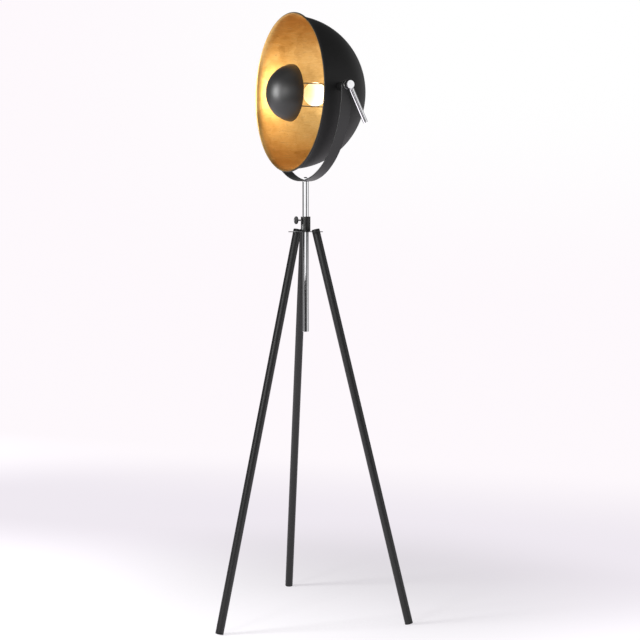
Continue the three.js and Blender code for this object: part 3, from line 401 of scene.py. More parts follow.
def powder_coat(name, tone, gloss, grain=0.0007):
    """Baked powder paint: a fine orange peel, slight clouding, a little dust in scattered patches."""
    coat = Finish(bpy.data.materials.new(name))
    peel = coat.noise(grain, detail=2)
    cloud = coat.noise(0.045, detail=4, roughness=0.6)
    dust = coat.band(coat.noise(0.0021, detail=5, roughness=0.75), 0.63, 0.74) * coat.band(cloud, 0.45, 0.65)
    worn = coat.band(coat.noise(0.012, detail=6, roughness=0.7), 0.68, 0.76)
    base = coat.mix(cloud, grey(tone * 0.90), grey(tone * 1.10))
    base = coat.mix(dust * 0.12, base, (0.16, 0.155, 0.15, 1))
    base = coat.mix(worn * 0.20, base, grey(tone * 1.7))
    return coat.surface(
        Base_Color=base,
        Roughness=gloss + cloud * 0.05 + dust * 0.08 - worn * 0.03,
        Specular_IOR_Level=0.42,
        Normal=coat.bump(peel, 0.00004, 0.25),
    )


def moulded(name, tone, gloss):
    """Injection-moulded plastic: a spark-eroded grain, faint flow clouds."""
    plastic = Finish(bpy.data.materials.new(name))
    grain = plastic.noise(0.0004, detail=2)
    flow = plastic.noise(0.008, detail=4, stretch=(1, 1, 0.4), distortion=0.6)
    return plastic.surface(
        Base_Color=plastic.mix(flow, grey(tone * 0.85), grey(tone * 1.15)),
        Roughness=gloss + grain * 0.12 + flow * 0.05,
        Normal=plastic.bump(grain, 0.00004, 0.4),
    )


BLACK_PAINT = powder_coat("black_powder_paint", 0.014, 0.36)
BLACK_PLASTIC = moulded("black_moulded_plastic", 0.016, 0.27)

sole_rubber = Finish(bpy.data.materials.new("sole_rubber"))
pores = sole_rubber.noise(0.0006, detail=3)
scuff = sole_rubber.band(sole_rubber.noise(0.006, detail=6, roughness=0.7), 0.52, 0.72)
SOLE_RUBBER = sole_rubber.surface(
    Base_Color=sole_rubber.mix(scuff * 0.5, grey(0.011), (0.045, 0.043, 0.040, 1)),
    Roughness=0.72 + pores * 0.15,
    Normal=sole_rubber.bump(pores, 0.0001, 0.5),
)

for number, turn in enumerate(LEG_TURNS, 1):
    along = (
        Matrix.Rotation(radians(turn), 4, "Z")
        @ Matrix.Translation((LEG_AT_HUB, 0, HUB_HEIGHT))
        @ Matrix.Rotation(-LEG_LEAN, 4, "Y")
    )
    low, high = LEG_SOLE + FOOT_FLANGE + JOINT_GAP, LEG_TOP - PLUG_FLANGE - JOINT_GAP
    tube = sleeve(LEG_RADIUS, LEG_BORE, low, high)
    leg = made(f"leg_tube_{number}", *lathe(tube, along, 48), BLACK_PAINT, "stand",
               [f"leg_{number}"], "black_paint")
    flag_off(key, leg)

    spigot = LEG_BORE - JOINT_GAP
    crown = [(LEG_RADIUS, LEG_TOP - 0.0011), (LEG_RADIUS * 0.90, LEG_TOP - 0.0003),
             (LEG_RADIUS * 0.6, LEG_TOP), (0, LEG_TOP)]
    plug = [(0, high - PLUG_LENGTH), (spigot, high - PLUG_LENGTH), (spigot, high + JOINT_GAP),
            (LEG_RADIUS, high + JOINT_GAP)] + crown
    made(f"leg_top_plug_{number}", *lathe(eased(plug, MOULDED_EDGE), along, 48), BLACK_PLASTIC, "stand",
         [f"leg_plug_{number}"], "black_plastic")

    top = LEG_SOLE + FOOT_FLANGE + FOOT_LENGTH
    foot = [(0, LEG_SOLE), (LEG_RADIUS, LEG_SOLE), (LEG_RADIUS, LEG_SOLE + FOOT_FLANGE),
            (spigot, LEG_SOLE + FOOT_FLANGE), (spigot, top), (0, top)]
    shoe = made(f"rubber_foot_{number}", *lathe(eased(foot, MOULDED_EDGE), along, 48), SOLE_RUBBER, "stand",
                [f"foot_{number}"], "rubber")
    work = bmesh.new()
    work.from_mesh(shoe.data)
    everything = work.verts[:] + work.edges[:] + work.faces[:]
    cut = bmesh.ops.bisect_plane(
        work, geom=everything, plane_co=(0, 0, 0), plane_no=(0, 0, -1), clear_outer=True
    )["geom_cut"]
    cut_edges = [part for part in cut if isinstance(part, bmesh.types.BMEdge)]
    bmesh.ops.contextual_create(work, geom=cut_edges)
    work.to_mesh(shoe.data)
    work.free()

# ---------------------------------------------------------------------------
# The hub plate: a laser-cut steel disc, powder-coated like the legs, with a slanting hole for each
# leg and a round one for the pole. Its edges are broken by the tumbling after cutting.
# ---------------------------------------------------------------------------
PLATE_RADIUS = 0.0445
PLATE_THICKNESS = 0.002
POLE_RADIUS = 0.0082
PLATE_EDGE = 0.0003
LEG_HOLE_PLAY = 0.0005


def stamped(name, outlines, low, high, edge, finish, body, nodes, slot, place=Matrix()):
    """A flat plate between two heights, from its outline and the outlines of its holes."""
    drawing = bpy.data.curves.new(name, "CURVE")
    drawing.dimensions, drawing.fill_mode = "2D", "BOTH"
    drawing.extrude, drawing.bevel_depth, drawing.bevel_resolution = (high - low) / 2 - edge, edge, 2
    drawing.offset = -edge
    for outline in outlines:
        line = drawing.splines.new("POLY")
        line.points.add(len(outline) - 1)
        for point, (x, y) in zip(line.points, outline):
            point.co = (x, y, 0, 1)
        line.use_cyclic_u = True
    drawn = bpy.data.objects.new(name, drawing)
    bpy.context.collection.objects.link(drawn)
    bpy.context.view_layer.update()
    solid = drawn.evaluated_get(bpy.context.evaluated_depsgraph_get())
    mesh = bpy.data.meshes.new_from_object(solid)
    bpy.data.objects.remove(drawn)
    work = bmesh.new()
    work.from_mesh(mesh)
    bmesh.ops.remove_doubles(work, verts=work.verts, dist=1e-6)
    points = [place @ (vert.co + Vector((0, 0, (low + high) / 2))) for vert in work.verts]
    faces = [tuple(vert.index for vert in face.verts) for face in work.faces]
    work.free()
    return made(name, points, faces, finish, body, nodes, slot)


def ring(radius, centre=(0, 0), sides=64, squeeze=1.0, turn=0.0):
    """A circle's outline, or an ellipse's that is longer by squeeze along the direction turn."""
    points = []
    for k in range(sides):
        x, y = radius * squeeze * cos(2 * pi * k / sides), radius * sin(2 * pi * k / sides)
        across, along = x * cos(turn) - y * sin(turn), x * sin(turn) + y * cos(turn)
        points.append((centre[0] + across, centre[1] + along))
    return points


plate_outlines = [ring(PLATE_RADIUS, sides=96), ring(POLE_RADIUS + JOINT_GAP, sides=48)]
for turn in LEG_TURNS:
    spot = (LEG_AT_HUB * cos(radians(turn)), LEG_AT_HUB * sin(radians(turn)))
    plate_outlines.append(ring(LEG_RADIUS + LEG_HOLE_PLAY, spot, 48, 1 / cos(LEG_LEAN), radians(turn)))
stamped("tripod_hub_plate", plate_outlines,
        HUB_HEIGHT - PLATE_THICKNESS / 2, HUB_HEIGHT + PLATE_THICKNESS / 2, PLATE_EDGE,
        BLACK_PAINT, "stand", ["hub_plate"], "black_paint")

# ---------------------------------------------------------------------------
# The clamp collar: a short turned steel tube welded on the hub plate and coated with it, with a
# split nylon bush inside. The thumb screw goes through both, and bears on the pole.
# ---------------------------------------------------------------------------
COLLAR_RADIUS = 0.0124
COLLAR_LOW, COLLAR_HIGH = 1.0013, 1.039
BUSH_OUTER, BUSH_INNER = 0.010, 0.0085
SCREW_HEIGHT = 1.0295
SCREW_RADIUS = 0.002
SCREW_PITCH, SCREW_THREAD_DEPTH = 0.0007, 0.0003
SCREW_TIP, SCREW_END = 0.0085, 0.0265
KNOB_RADIUS = 0.010
KNOB_NEAR, KNOB_FAR = 0.0242, 0.0294
KNOB_BORE, KNOB_BORE_END = 0.0023, 0.0268
KNOB_ROUND, KNOB_STEP = 0.0014, 0.0006
KNOB_DISH = ((0.0078, 0.0001), (0.0070, 0.0006), (0.0050, 0.0010), (0, 0.0012))  # radius, depth
KNOB_FLUTES, FLUTE_DEPTH = 30, 0.00044

nylon = Finish(bpy.data.materials.new("natural_nylon"))
milk = nylon.noise(0.006, detail=4)
NYLON = nylon.surface(
    Base_Color=nylon.mix(milk, (0.62, 0.60, 0.53, 1), (0.74, 0.72, 0.66, 1)),
    Roughness=0.42 + milk * 0.15,
    Normal=nylon.bump(nylon.noise(0.0005, detail=2), 0.00005, 0.4),
)


def zinc_plate(name):
    """Bright zinc plating over steel: cloudy grey, faintly yellow and blue, with fine drawn lines."""
    zinc = Finish(bpy.data.materials.new(name))
    cloud = zinc.noise(0.009, detail=5, roughness=0.65)
    lines = zinc.noise(0.0006, detail=3, stretch=(1, 1, 0.15))
    tint = zinc.ramp(cloud, (0.30, (0.42, 0.43, 0.46, 1)), (0.50, (0.52, 0.52, 0.52, 1)),
                     (0.72, (0.56, 0.54, 0.48, 1)))
    return zinc.surface(
        Base_Color=tint,
        Metallic=1.0,
        Roughness=0.26 + cloud * 0.16 + lines * 0.06,
        Normal=zinc.bump(lines, 0.00002, 0.35),
    )


ZINC = zinc_plate("zinc_plated_steel")

made("hub_collar", *lathe(sleeve(COLLAR_RADIUS, BUSH_OUTER + JOINT_GAP, COLLAR_LOW, COLLAR_HIGH, 0.0008)),
     BLACK_PAINT, "stand", ["clamp_collar"], "black_paint")
made("nylon_bush", *lathe(sleeve(BUSH_OUTER, BUSH_INNER, COLLAR_LOW, COLLAR_HIGH - 0.0015)),
     NYLON, "stand", ["collar_bush"], "nylon")

towards_knob = Matrix.Translation((0, 0, SCREW_HEIGHT)) @ Matrix.Rotation(pi / 2, 4, "X")


def threaded(pitch, depth, low, high):
    """A shape for lathe(): a screw thread between two heights."""

    def shape(radius, height, angle):
        if not low < height < high:
            return radius, height
        turn = (height / pitch - angle / (2 * pi)) % 1
        fade = min(1, (height - low) / pitch, (high - height) / pitch)
        return radius - depth * fade * (0.5 - 0.5 * cos(2 * pi * turn)), height

    return shape


def stepped(low, high, step):
    """Heights from low to high, about step apart."""
    count = max(1, round((high - low) / step))
    return [low + (high - low) * k / count for k in range(count + 1)]


shank = [(0, SCREW_TIP), (0.0013, SCREW_TIP)]
shank += [(SCREW_RADIUS, height) for height in stepped(0.0092, SCREW_END, SCREW_PITCH / 6)] + [(0, SCREW_END)]
screw_thread = threaded(SCREW_PITCH, SCREW_THREAD_DEPTH, 0.0095, 0.0225)
made("clamp_screw", *lathe(shank, towards_knob, 24, screw_thread),
     ZINC, "thumb_screw", ["thumb_screw"], "zinc")


def fluted(radius, height, angle):
    """Shallow grip flutes round the knob's rim, and none on its faces."""
    if radius < KNOB_RADIUS - 0.0011:
        return radius, height
    return radius - FLUTE_DEPTH / 2 * (1 + cos(KNOB_FLUTES * angle)), height


def arc(r, z, radius, start, end, steps):
    """Points of an arc in a profile, in degrees from the +radius direction towards +height."""
    sweep = [radians(start + (end - start) * k / steps) for k in range(steps + 1)]
    return [(r + radius * cos(a), z + radius * sin(a)) for a in sweep]


knob_near = [(0, KNOB_BORE_END), (KNOB_BORE, KNOB_BORE_END), (KNOB_BORE, KNOB_NEAR), (0.0052, KNOB_NEAR),
             (0.0060, KNOB_NEAR + KNOB_STEP), (0.0080, KNOB_NEAR + KNOB_STEP)]
round_at = KNOB_RADIUS - KNOB_ROUND
rim = arc(round_at, KNOB_NEAR + KNOB_STEP + KNOB_ROUND, KNOB_ROUND, -90, 0, 6)
rim += arc(round_at, KNOB_FAR - KNOB_ROUND, KNOB_ROUND, 0, 90, 6)
dish = [(radius, KNOB_FAR - depth) for radius, depth in KNOB_DISH]
made("clamp_knob", *lathe(knob_near + rim + dish, towards_knob, 120, fluted),
     BLACK_PLASTIC, "thumb_screw", ["thumb_knob"], "black_plastic")

# ---------------------------------------------------------------------------
# The pole: thin steel tube, polished and chromed, sliding in the bush. A moulded plug is pressed
# into its lower end, and a steel insert with a stud into its upper end.
# ---------------------------------------------------------------------------
POLE_LOW, POLE_HIGH = 0.742, 1.129
POLE_BORE = 0.007
POLE_PLUG_INSET, POLE_PLUG_END = 0.001, 0.015


def chrome_plate(name, streak):
    """Mirror chrome: polishing lines along the piece, a faint haze, and a few finger marks."""
    chrome = Finish(bpy.data.materials.new(name))
    polish = chrome.noise(0.0009, detail=3, stretch=streak)
    haze = chrome.band(chrome.noise(0.018, detail=5, roughness=0.65), 0.48, 0.72)
    marks = chrome.band(chrome.noise(0.004, detail=6, roughness=0.7, distortion=0.8), 0.60, 0.72)
    return chrome.surface(
        Base_Color=chrome.mix(haze * 0.5 + marks * 0.2, (0.92, 0.92, 0.94, 1), (0.80, 0.80, 0.82, 1)),
        Metallic=1.0,
        Roughness=0.045 + haze * 0.05 + marks * 0.07 + polish * 0.02,
        Normal=chrome.bump(polish, 0.000008, 0.25),
    )


CHROME = chrome_plate("polished_chrome", (1, 1, 0.06))

pole = made("chromed_pole", *lathe(sleeve(POLE_RADIUS, POLE_BORE, POLE_LOW, POLE_HIGH), sides=96),
            CHROME, "pole", ["pole_tube"], "chrome")
plug_radius = POLE_BORE - JOINT_GAP
end_plug = [(0, POLE_LOW + POLE_PLUG_INSET), (plug_radius, POLE_LOW + POLE_PLUG_INSET),
            (plug_radius, POLE_LOW + POLE_PLUG_END), (0, POLE_LOW + POLE_PLUG_END)]
made("pole_plug", *lathe(eased(end_plug, MOULDED_EDGE)), BLACK_PLASTIC, "pole",
     ["pole_end_plug"], "black_plastic")


def dress(finish, *nodes):
    """Gives CAD nodes whose shape is already right their finish."""
    for node in nodes:
        frame["nodes"][node].material_slots[0].material = finish


dress(ZINC, "pole_insert", "yoke_stud")

# ---------------------------------------------------------------------------
# The yoke: one flat steel strap with round ends, bent in a half circle and powder-coated. A chromed
# nut and a washer hold its middle on the pole's stud, and its arms carry the shade.
# ---------------------------------------------------------------------------
YOKE_INNER, YOKE_THICKNESS = 0.22002, 0.003
YOKE_HALF_WIDTH = 0.014
YOKE_EDGE = 0.0007
TILT_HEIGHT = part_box("yoke")[1].z - YOKE_HALF_WIDTH
BEND_STEPS, END_STEPS = 96, 14

middle = YOKE_INNER + YOKE_THICKNESS / 2


def on_strap(length):
    """A point on the strap's middle line and its outward direction, from the bend's foot (0)."""
    angle = max(-pi / 2, min(pi / 2, length / middle))
    rise = abs(length) - middle * pi / 2
    outward = Vector((sin(angle), 0, -cos(angle)))
    return outward * middle + Vector((0, 0, max(0, rise))), outward


stations = []
half_length = middle * pi / 2
for k in range(END_STEPS + 1):
    swing = pi / 2 * (1 - k / END_STEPS)
    stations.append((half_length + YOKE_HALF_WIDTH * sin(swing), YOKE_HALF_WIDTH * cos(swing)))
stations = [(-length, width) for length, width in stations]
for k in range(1, BEND_STEPS):
    stations.append((-half_length + 2 * half_length * k / BEND_STEPS, YOKE_HALF_WIDTH))
stations += [(-length, width) for length, width in reversed(stations[: END_STEPS + 1])]

points, sections = [], []
half = YOKE_THICKNESS / 2
for length, width in stations:
    spot, outward = on_strap(length)
    width = max(width, 0.0001)
    ease = min(YOKE_EDGE, width * 0.9)
    loop = eased([(-width, -half), (width, -half), (width, half), (-width, half)], ease, loop=True, steps=3)
    sections.append(range(len(points), len(points) + len(loop)))
    for across, out in loop:
        points.append(spot + Vector((0, across, 0)) + outward * out + Vector((0, 0, TILT_HEIGHT)))
faces = []
for low, high in zip(sections, sections[1:]):
    count = len(low)
    faces += [(low[k], low[(k + 1) % count], high[(k + 1) % count], high[k]) for k in range(count)]
faces += [tuple(sections[0]), tuple(reversed(sections[-1]))]
made("shade_yoke", points, faces, BLACK_PAINT, "yoke", ["yoke"], "black_paint")


def hexagonal(radius, low, high):
    """A shape for lathe(): six flats between two heights."""
    flat = radius * cos(pi / 6)

    def shape(r, z, angle):
        if not low <= z <= high:
            return r, z
        return min(r, flat / cos((angle + pi / 6) % (pi / 3) - pi / 6)), z

    return shape


nut_low, nut_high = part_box("yoke_nut")[0].z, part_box("yoke_nut")[1].z
NUT_RADIUS, NUT_FLATS = 0.0056, 0.0034
NUT_BORE, NUT_DEPTH = 0.0033, 0.0054
pole_nut = [(0, nut_low + NUT_DEPTH), (NUT_BORE, nut_low + NUT_DEPTH), (NUT_BORE, nut_low),
            (NUT_RADIUS, nut_low), (NUT_RADIUS, nut_low + NUT_FLATS), (0.0050, nut_low + 0.0040),
            (0.0042, nut_high - 0.0010), (0.0026, nut_high - 0.0002), (0, nut_high)]
flats = hexagonal(NUT_RADIUS, nut_low, nut_low + NUT_FLATS)
made("pole_nut", *lathe(eased(pole_nut, 0.0004), sides=96, shape=flats),
     CHROME, "yoke", ["yoke_nut"], "chrome")
dress(ZINC, "yoke_washer")

# ---------------------------------------------------------------------------
# The shade: sheet steel spun to a deep dome, its edge flared and rolled over a wire. The outside is
# sprayed satin black over faint spinning lines. A shallow spun cover with two screws closes the back.
# ---------------------------------------------------------------------------
SHADE_RADIUS, SHADE_WALL = 0.1926, 0.001
SHADE_CENTRE = 0.0448  # in front of the tilting axis
BEAD_RADIUS = 0.0022
BEAD_FORWARD = SHADE_CENTRE + BEAD_RADIUS
BEAD_AT = SHADE_RADIUS - SHADE_WALL + 0.005 + BEAD_RADIUS * 0.8
FLARE_STARTS, FLARE_BENDS = radians(7), 0.86
NIPPLE_HOLE = 0.0053
SHADE_SIDES = 144

facing = Matrix.Translation((0, 0, TILT_HEIGHT)) @ Matrix.Rotation(pi / 2, 4, "X")


def dome(radius, hole, steps):
    """A half sphere's profile, open at the back by a hole of that radius."""
    return arc(0, SHADE_CENTRE, radius, -90 + asin(hole / radius) * 180 / pi, 0, steps)


def spun_black(name, tone, gloss, centre, shine):
    """Sprayed satin black over spun sheet: hair-fine turning lines round the axis, soft mottle."""
    black = Finish(bpy.data.materials.new(name))
    x, _, z = black.axes(black.place((1, 0, 1), (0, 0, -centre)))
    reach = black.node("Math", {"operation": "SQRT"}, {0: x * x + z * z})
    rings = black.node("TexNoise", {"noise_dimensions": "1D"}, {"W": reach * 900, "Detail": 3})
    mottle = black.noise(0.030, detail=5, roughness=0.6)
    grain = black.noise(0.0008, detail=2)
    specks = black.band(black.noise(0.0030, detail=6, roughness=0.8), 0.66, 0.72)
    base = black.mix(mottle, grey(tone * 0.88), grey(tone * 1.14))
    base = black.mix(specks * 0.18, base, (0.13, 0.128, 0.125, 1))
    return black.surface(
        Base_Color=base,
        Roughness=gloss + mottle * 0.07 + rings * 0.05 + specks * 0.1,
        Specular_IOR_Level=shine,
        Normal=black.bump(grain * 0.5 + rings * 0.6, 0.00005, 0.35),
    )


BLACK_SHADE = spun_black("satin_black_spun_steel", 0.012, 0.46, TILT_HEIGHT, 0.28)

def bowl(radius, lip, steps):
    """A dome's profile that leaves the sphere near its edge, and bends outwards to the lip."""
    back = [point for point in dome(radius, NIPPLE_HOLE, steps)
            if point[1] < SHADE_CENTRE - radius * sin(FLARE_STARTS) * 1.15]
    leaves = Vector((radius * cos(FLARE_STARTS), SHADE_CENTRE - radius * sin(FLARE_STARTS)))
    straight = Vector((sin(FLARE_STARTS), cos(FLARE_STARTS)))
    bends_at = leaves + straight * (lip[1] - leaves.y) * FLARE_BENDS
    curve = [(1 - t) ** 2 * leaves + 2 * t * (1 - t) * bends_at + t * t * Vector(lip)
             for t in (k / 8 for k in range(8))]
    return back + [tuple(point) for point in curve]


inner = SHADE_RADIUS - SHADE_WALL
bead = arc(BEAD_AT, BEAD_FORWARD, BEAD_RADIUS, -125, 120, 16)
lip_inside = (BEAD_AT - BEAD_RADIUS * 0.75, BEAD_FORWARD + BEAD_RADIUS * 0.66)
shell = bowl(SHADE_RADIUS, bead[0], 40) + bead + bowl(inner, lip_inside, 24)[::-1]
made("black_shade", *lathe(shell, facing, SHADE_SIDES), BLACK_SHADE, "head", ["shade_shell"], "black_shade")

COVER_RADIUS, COVER_WALL, COVER_ROUND = 0.030, 0.0012, 0.002
cover_back = -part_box("rear_cover")[1].y
cover_rim = -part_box("rear_cover")[0].y
cover_bore = COVER_RADIUS - COVER_WALL
cover = [(0, cover_back)]
cover += arc(COVER_RADIUS - COVER_ROUND, cover_back + COVER_ROUND, COVER_ROUND, -90, 0, 10)
cover += [(COVER_RADIUS, cover_rim), (cover_bore, cover_rim)]
cover += arc(cover_bore - COVER_ROUND, cover_back + COVER_WALL + COVER_ROUND, COVER_ROUND, 0, -90, 8)
cover += [(0, cover_back + COVER_WALL)]
made("back_cover", *lathe(cover, facing, 96), BLACK_SHADE, "head", ["rear_cover"], "black_shade")

SCREW_OUT = 0.022
SCREW_HEAD_RADIUS, SCREW_HEAD_HEIGHT = 0.0028, 0.0018
SCREW_SHANK, SCREW_SHANK_END = 0.0015, -0.1422
RECESS_REACH, RECESS_HALF_WIDTH, RECESS_DEPTH = 0.0019, 0.00035, 0.0007


def cross_slot(radius, height, angle):
    """A shape for lathe(): a cross recess sunk in a screw's head."""
    x, y = abs(radius * cos(angle)), abs(radius * sin(angle))
    if height > cover_back - 0.0010 or radius > RECESS_REACH:
        return radius, height
    return radius, height + (RECESS_DEPTH if min(x, y) < RECESS_HALF_WIDTH else 0)


for number, side in enumerate((1, -1), 1):
    seat = cover_back - JOINT_GAP
    screw = [(0, seat - SCREW_HEAD_HEIGHT + RECESS_DEPTH)]
    screw += [(r / 10000, seat - SCREW_HEAD_HEIGHT) for r in range(2, 20, 2)]
    screw += [(0.0024, seat - 0.0014), (SCREW_HEAD_RADIUS, seat - 0.0007), (SCREW_HEAD_RADIUS, seat),
              (SCREW_SHANK, seat), (SCREW_SHANK, SCREW_SHANK_END), (0, SCREW_SHANK_END)]
    sideways = facing @ Matrix.Translation((side * SCREW_OUT, 0, 0))
    made(f"cover_screw_{number}", *lathe(screw, sideways, 72, cross_slot),
         ZINC, "head", [f"rear_screw_{number}"], "zinc")

gland_centre = (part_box("cord_gland")[0].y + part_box("cord_gland")[1].y) / 2
below = Matrix.Translation((0, gland_centre, TILT_HEIGHT)) @ Matrix.Rotation(pi, 4, "X")
GLAND_BORE, GLAND_IN, GLAND_OUT = 0.0024, 0.0268, 0.0390
gland = [(GLAND_BORE, GLAND_IN), (0.0032, GLAND_IN), (0.0032, 0.0303), (0.0042, 0.0303),
         (0.0042, 0.0322), (0.0038, 0.0326), (0.0038, 0.0334), (0.0041, 0.0338), (0.0041, 0.0352),
         (0.0035, GLAND_OUT), (GLAND_BORE, GLAND_OUT)]
made("cord_outlet", *lathe(eased(gland, 0.0003, loop=True, steps=3), below, 48),
     BLACK_PLASTIC, "head", ["cord_gland"], "black_plastic")
dress(NYLON, "terminal_block")

# ---------------------------------------------------------------------------
# The gilded inside: a thin spun liner laid with loose metal leaf in overlapping squares, rubbed down
# and sealed. The leaf wrinkles, tears to the brown size beneath, and is scratched by the brush.
# ---------------------------------------------------------------------------
LINER_WALL = 0.0005
LEAF_SIZE, LEAF_WANDER = 0.062, 0.55

leaf = Finish(bpy.data.materials.new("gold_leaf"))
wander = leaf.noise(0.050, detail=3)
wander = Wire(leaf, wander.socket.node.outputs[1])
drift = leaf.node("VectorMath", {"operation": "MULTIPLY_ADD"},
                  {0: wander, 1: (LEAF_WANDER,) * 3, 2: leaf.place([1 / LEAF_SIZE] * 3)})
laid = {"Vector": drift, "Scale": 1.0}
squares = leaf.node("TexVoronoi", {"distance": "CHEBYCHEV"}, laid, output=1)
tone, _, _ = leaf.axes(squares)
nearest = leaf.node("TexVoronoi", {"distance": "CHEBYCHEV"}, laid)
second = leaf.node("TexVoronoi", {"distance": "CHEBYCHEV", "feature": "F2"}, laid)
lap = 1 - leaf.band(second - nearest, 0.0, 0.06)
crumple = leaf.noise(0.0060, detail=8, roughness=0.70, distortion=0.4)
mottle = leaf.noise(0.024, detail=8, roughness=0.68, distortion=0.3)
brushed = leaf.noise(0.0030, detail=7, roughness=0.72, stretch=(0.10, 0.10, 1.0))
streaks = leaf.band(brushed * 0.8 + mottle * 0.2, 0.52, 0.64)
flecks = leaf.band(leaf.noise(0.0045, detail=5, roughness=0.75, stretch=(0.35, 0.35, 1.0)), 0.63, 0.70)
hairs = leaf.band(leaf.noise(0.0014, detail=4, roughness=0.6, stretch=(0.05, 0.05, 1.0)), 0.60, 0.70)
torn = leaf.band(crumple * 0.62 + mottle * 0.38, 0.59, 0.65)
gold = leaf.ramp(mottle * 0.44 + tone * 0.16 + brushed * 0.40,
                 (0.30, (0.40, 0.215, 0.062, 1)), (0.45, (0.54, 0.315, 0.100, 1)),
                 (0.56, (0.62, 0.385, 0.135, 1)), (0.72, (0.71, 0.470, 0.190, 1)))
gold = leaf.mix(streaks * 0.50, gold, (0.30, 0.175, 0.070, 1))
gold = leaf.mix(flecks * 0.45, gold, (0.13, 0.070, 0.030, 1))
gold = leaf.mix(torn * 0.50, gold, (0.20, 0.095, 0.035, 1))
gold = leaf.mix(lap * 0.14, gold, (0.36, 0.19, 0.060, 1))
gold = leaf.mix(hairs * 0.22, gold, (0.90, 0.66, 0.32, 1))
GOLD_LEAF = leaf.surface(
    Base_Color=gold,
    Metallic=1.0 - torn * 0.40,
    Roughness=0.28 + crumple * 0.09 + streaks * 0.08 + torn * 0.16 - hairs * 0.05 + tone * 0.04,
    Normal=leaf.bump(crumple * 0.6 + brushed * 0.6 + lap * 0.2, 0.00030, 0.35),
)

outer = inner - JOINT_GAP
within = outer - LINER_WALL
lap_over = BEAD_RADIUS + JOINT_GAP
lap_under = arc(BEAD_AT, BEAD_FORWARD, lap_over, 130, 85, 8)
lap_top = arc(BEAD_AT, BEAD_FORWARD, lap_over + LINER_WALL, 85, 130, 8)
liner = bowl(outer, lap_under[0], 24) + lap_under + lap_top + bowl(within, lap_top[-1], 40)[::-1]
made("gilded_liner", *lathe(liner, facing, SHADE_SIDES), GOLD_LEAF, "head", ["shade_liner"], "gold_leaf")

# ---------------------------------------------------------------------------
# The tilting axis: on each side a bolt through a seat, the dome, a turned boss and the yoke's arm,
# with a washer outside. A chromed domed nut ends one, and a dark sleeve spaces the lever on the other.
# ---------------------------------------------------------------------------
PIVOT_HOLE = 0.0043
BOSS_RADIUS, BOSS_START, BOSS_ENDS_FOLLOW = 0.010, 0.187, 0.195
YOKE_OUTER = YOKE_INNER + YOKE_THICKNESS
WASHER_THICKNESS = 0.0012
WASHER_IN = YOKE_OUTER + JOINT_GAP
WASHER_OUT = WASHER_IN + WASHER_THICKNESS


def to_side(side):
    """From a profile's Z to the tilting axis, pointing out of the shade on that side."""
    return Matrix.Translation((0, 0, TILT_HEIGHT)) @ Matrix.Rotation(side * pi / 2, 4, "Y")


def seated(radius, height, angle):
    """A shape for lathe(): the boss's inner end follows the dome."""
    if height > BOSS_ENDS_FOLLOW:
        return radius, height
    x, y = radius * cos(angle), radius * sin(angle) + SHADE_CENTRE
    return radius, sqrt((SHADE_RADIUS + 0.0002) ** 2 - x * x - y * y) + (height - BOSS_START)


for side, where in ((1, "lever_side"), (-1, "nut_side")):
    turned = [(PIVOT_HOLE, BOSS_START), (BOSS_RADIUS - 0.0003, BOSS_START),
              (BOSS_RADIUS, BOSS_START + 0.0003), (BOSS_RADIUS, 0.2188),
              (BOSS_RADIUS - 0.0008, YOKE_INNER - JOINT_GAP),
              (PIVOT_HOLE, YOKE_INNER - JOINT_GAP)]
    made(f"boss_{where}", *lathe(turned, to_side(side), 64, seated), BLACK_PAINT, "head",
         [f"pivot_boss_{where}"], "black_paint")
    washer = sleeve(BOSS_RADIUS, PIVOT_HOLE, WASHER_IN, WASHER_OUT, 0.0003)
    made(f"washer_{where}", *lathe(washer, to_side(side), 64),
         ZINC, "head", [f"pivot_washer_{where}"], "zinc")
    dress(ZINC, f"pivot_seat_{where}", f"pivot_bolt_{where}")

SLEEVE_RADIUS, SLEEVE_LENGTH = 0.0088, 0.004
sleeve_in = WASHER_OUT + JOINT_GAP
sleeve_out = sleeve_in + SLEEVE_LENGTH
made("lever_spacer", *lathe(sleeve(SLEEVE_RADIUS, PIVOT_HOLE, sleeve_in, sleeve_out, 0.0007), to_side(1)),
     BLACK_PLASTIC, "head", ["lever_sleeve"], "black_plastic")

DOME_NUT_RADIUS, DOME_NUT_LENGTH = 0.008, 0.013
ACORN_HEIGHT, ACORN_RADIUS, ACORN_ROOF = 0.0055, 0.0066, 0.0037
acorn_in = WASHER_OUT + JOINT_GAP
acorn_out = acorn_in + DOME_NUT_LENGTH
acorn_foot = acorn_out - ACORN_HEIGHT
acorn = [(0, acorn_out - ACORN_ROOF), (PIVOT_HOLE, acorn_out - ACORN_ROOF), (PIVOT_HOLE, acorn_in),
         (DOME_NUT_RADIUS * 0.94, acorn_in), (DOME_NUT_RADIUS, acorn_in + 0.0005),
         (DOME_NUT_RADIUS, acorn_foot - 0.0007), (0.0069, acorn_foot)]
for k in range(1, 10):
    acorn.append((ACORN_RADIUS * cos(k * pi / 20), acorn_foot + ACORN_HEIGHT * sin(k * pi / 20)))
acorn += [(0, acorn_out)]
acorn_flats = hexagonal(DOME_NUT_RADIUS, acorn_in, acorn_foot - 0.0005)
made("domed_nut", *lathe(acorn, to_side(-1), 96, acorn_flats),
     CHROME, "head", ["pivot_dome_nut"], "chrome")

# ---------------------------------------------------------------------------
# The clamping lever: a turned hub on the bolt's end and a straight round bar screwed into it, both
# polished and chromed. The hub's face is slightly crowned, and the bar's end is flat.
# ---------------------------------------------------------------------------
LEVER_HUB_RADIUS, LEVER_HUB_LENGTH, LEVER_HUB_CROWN = 0.0103, 0.0122, 0.0002
LEVER_HUB_IN = sleeve_out + JOINT_GAP
LEVER_HUB_OUT = LEVER_HUB_IN + LEVER_HUB_LENGTH
LEVER_BAR_RADIUS = 0.0059
LEVER_REACH = 0.0992
LEVER_LEAN = radians(26.6)
LEVER_BORE_END = LEVER_HUB_OUT - 0.002

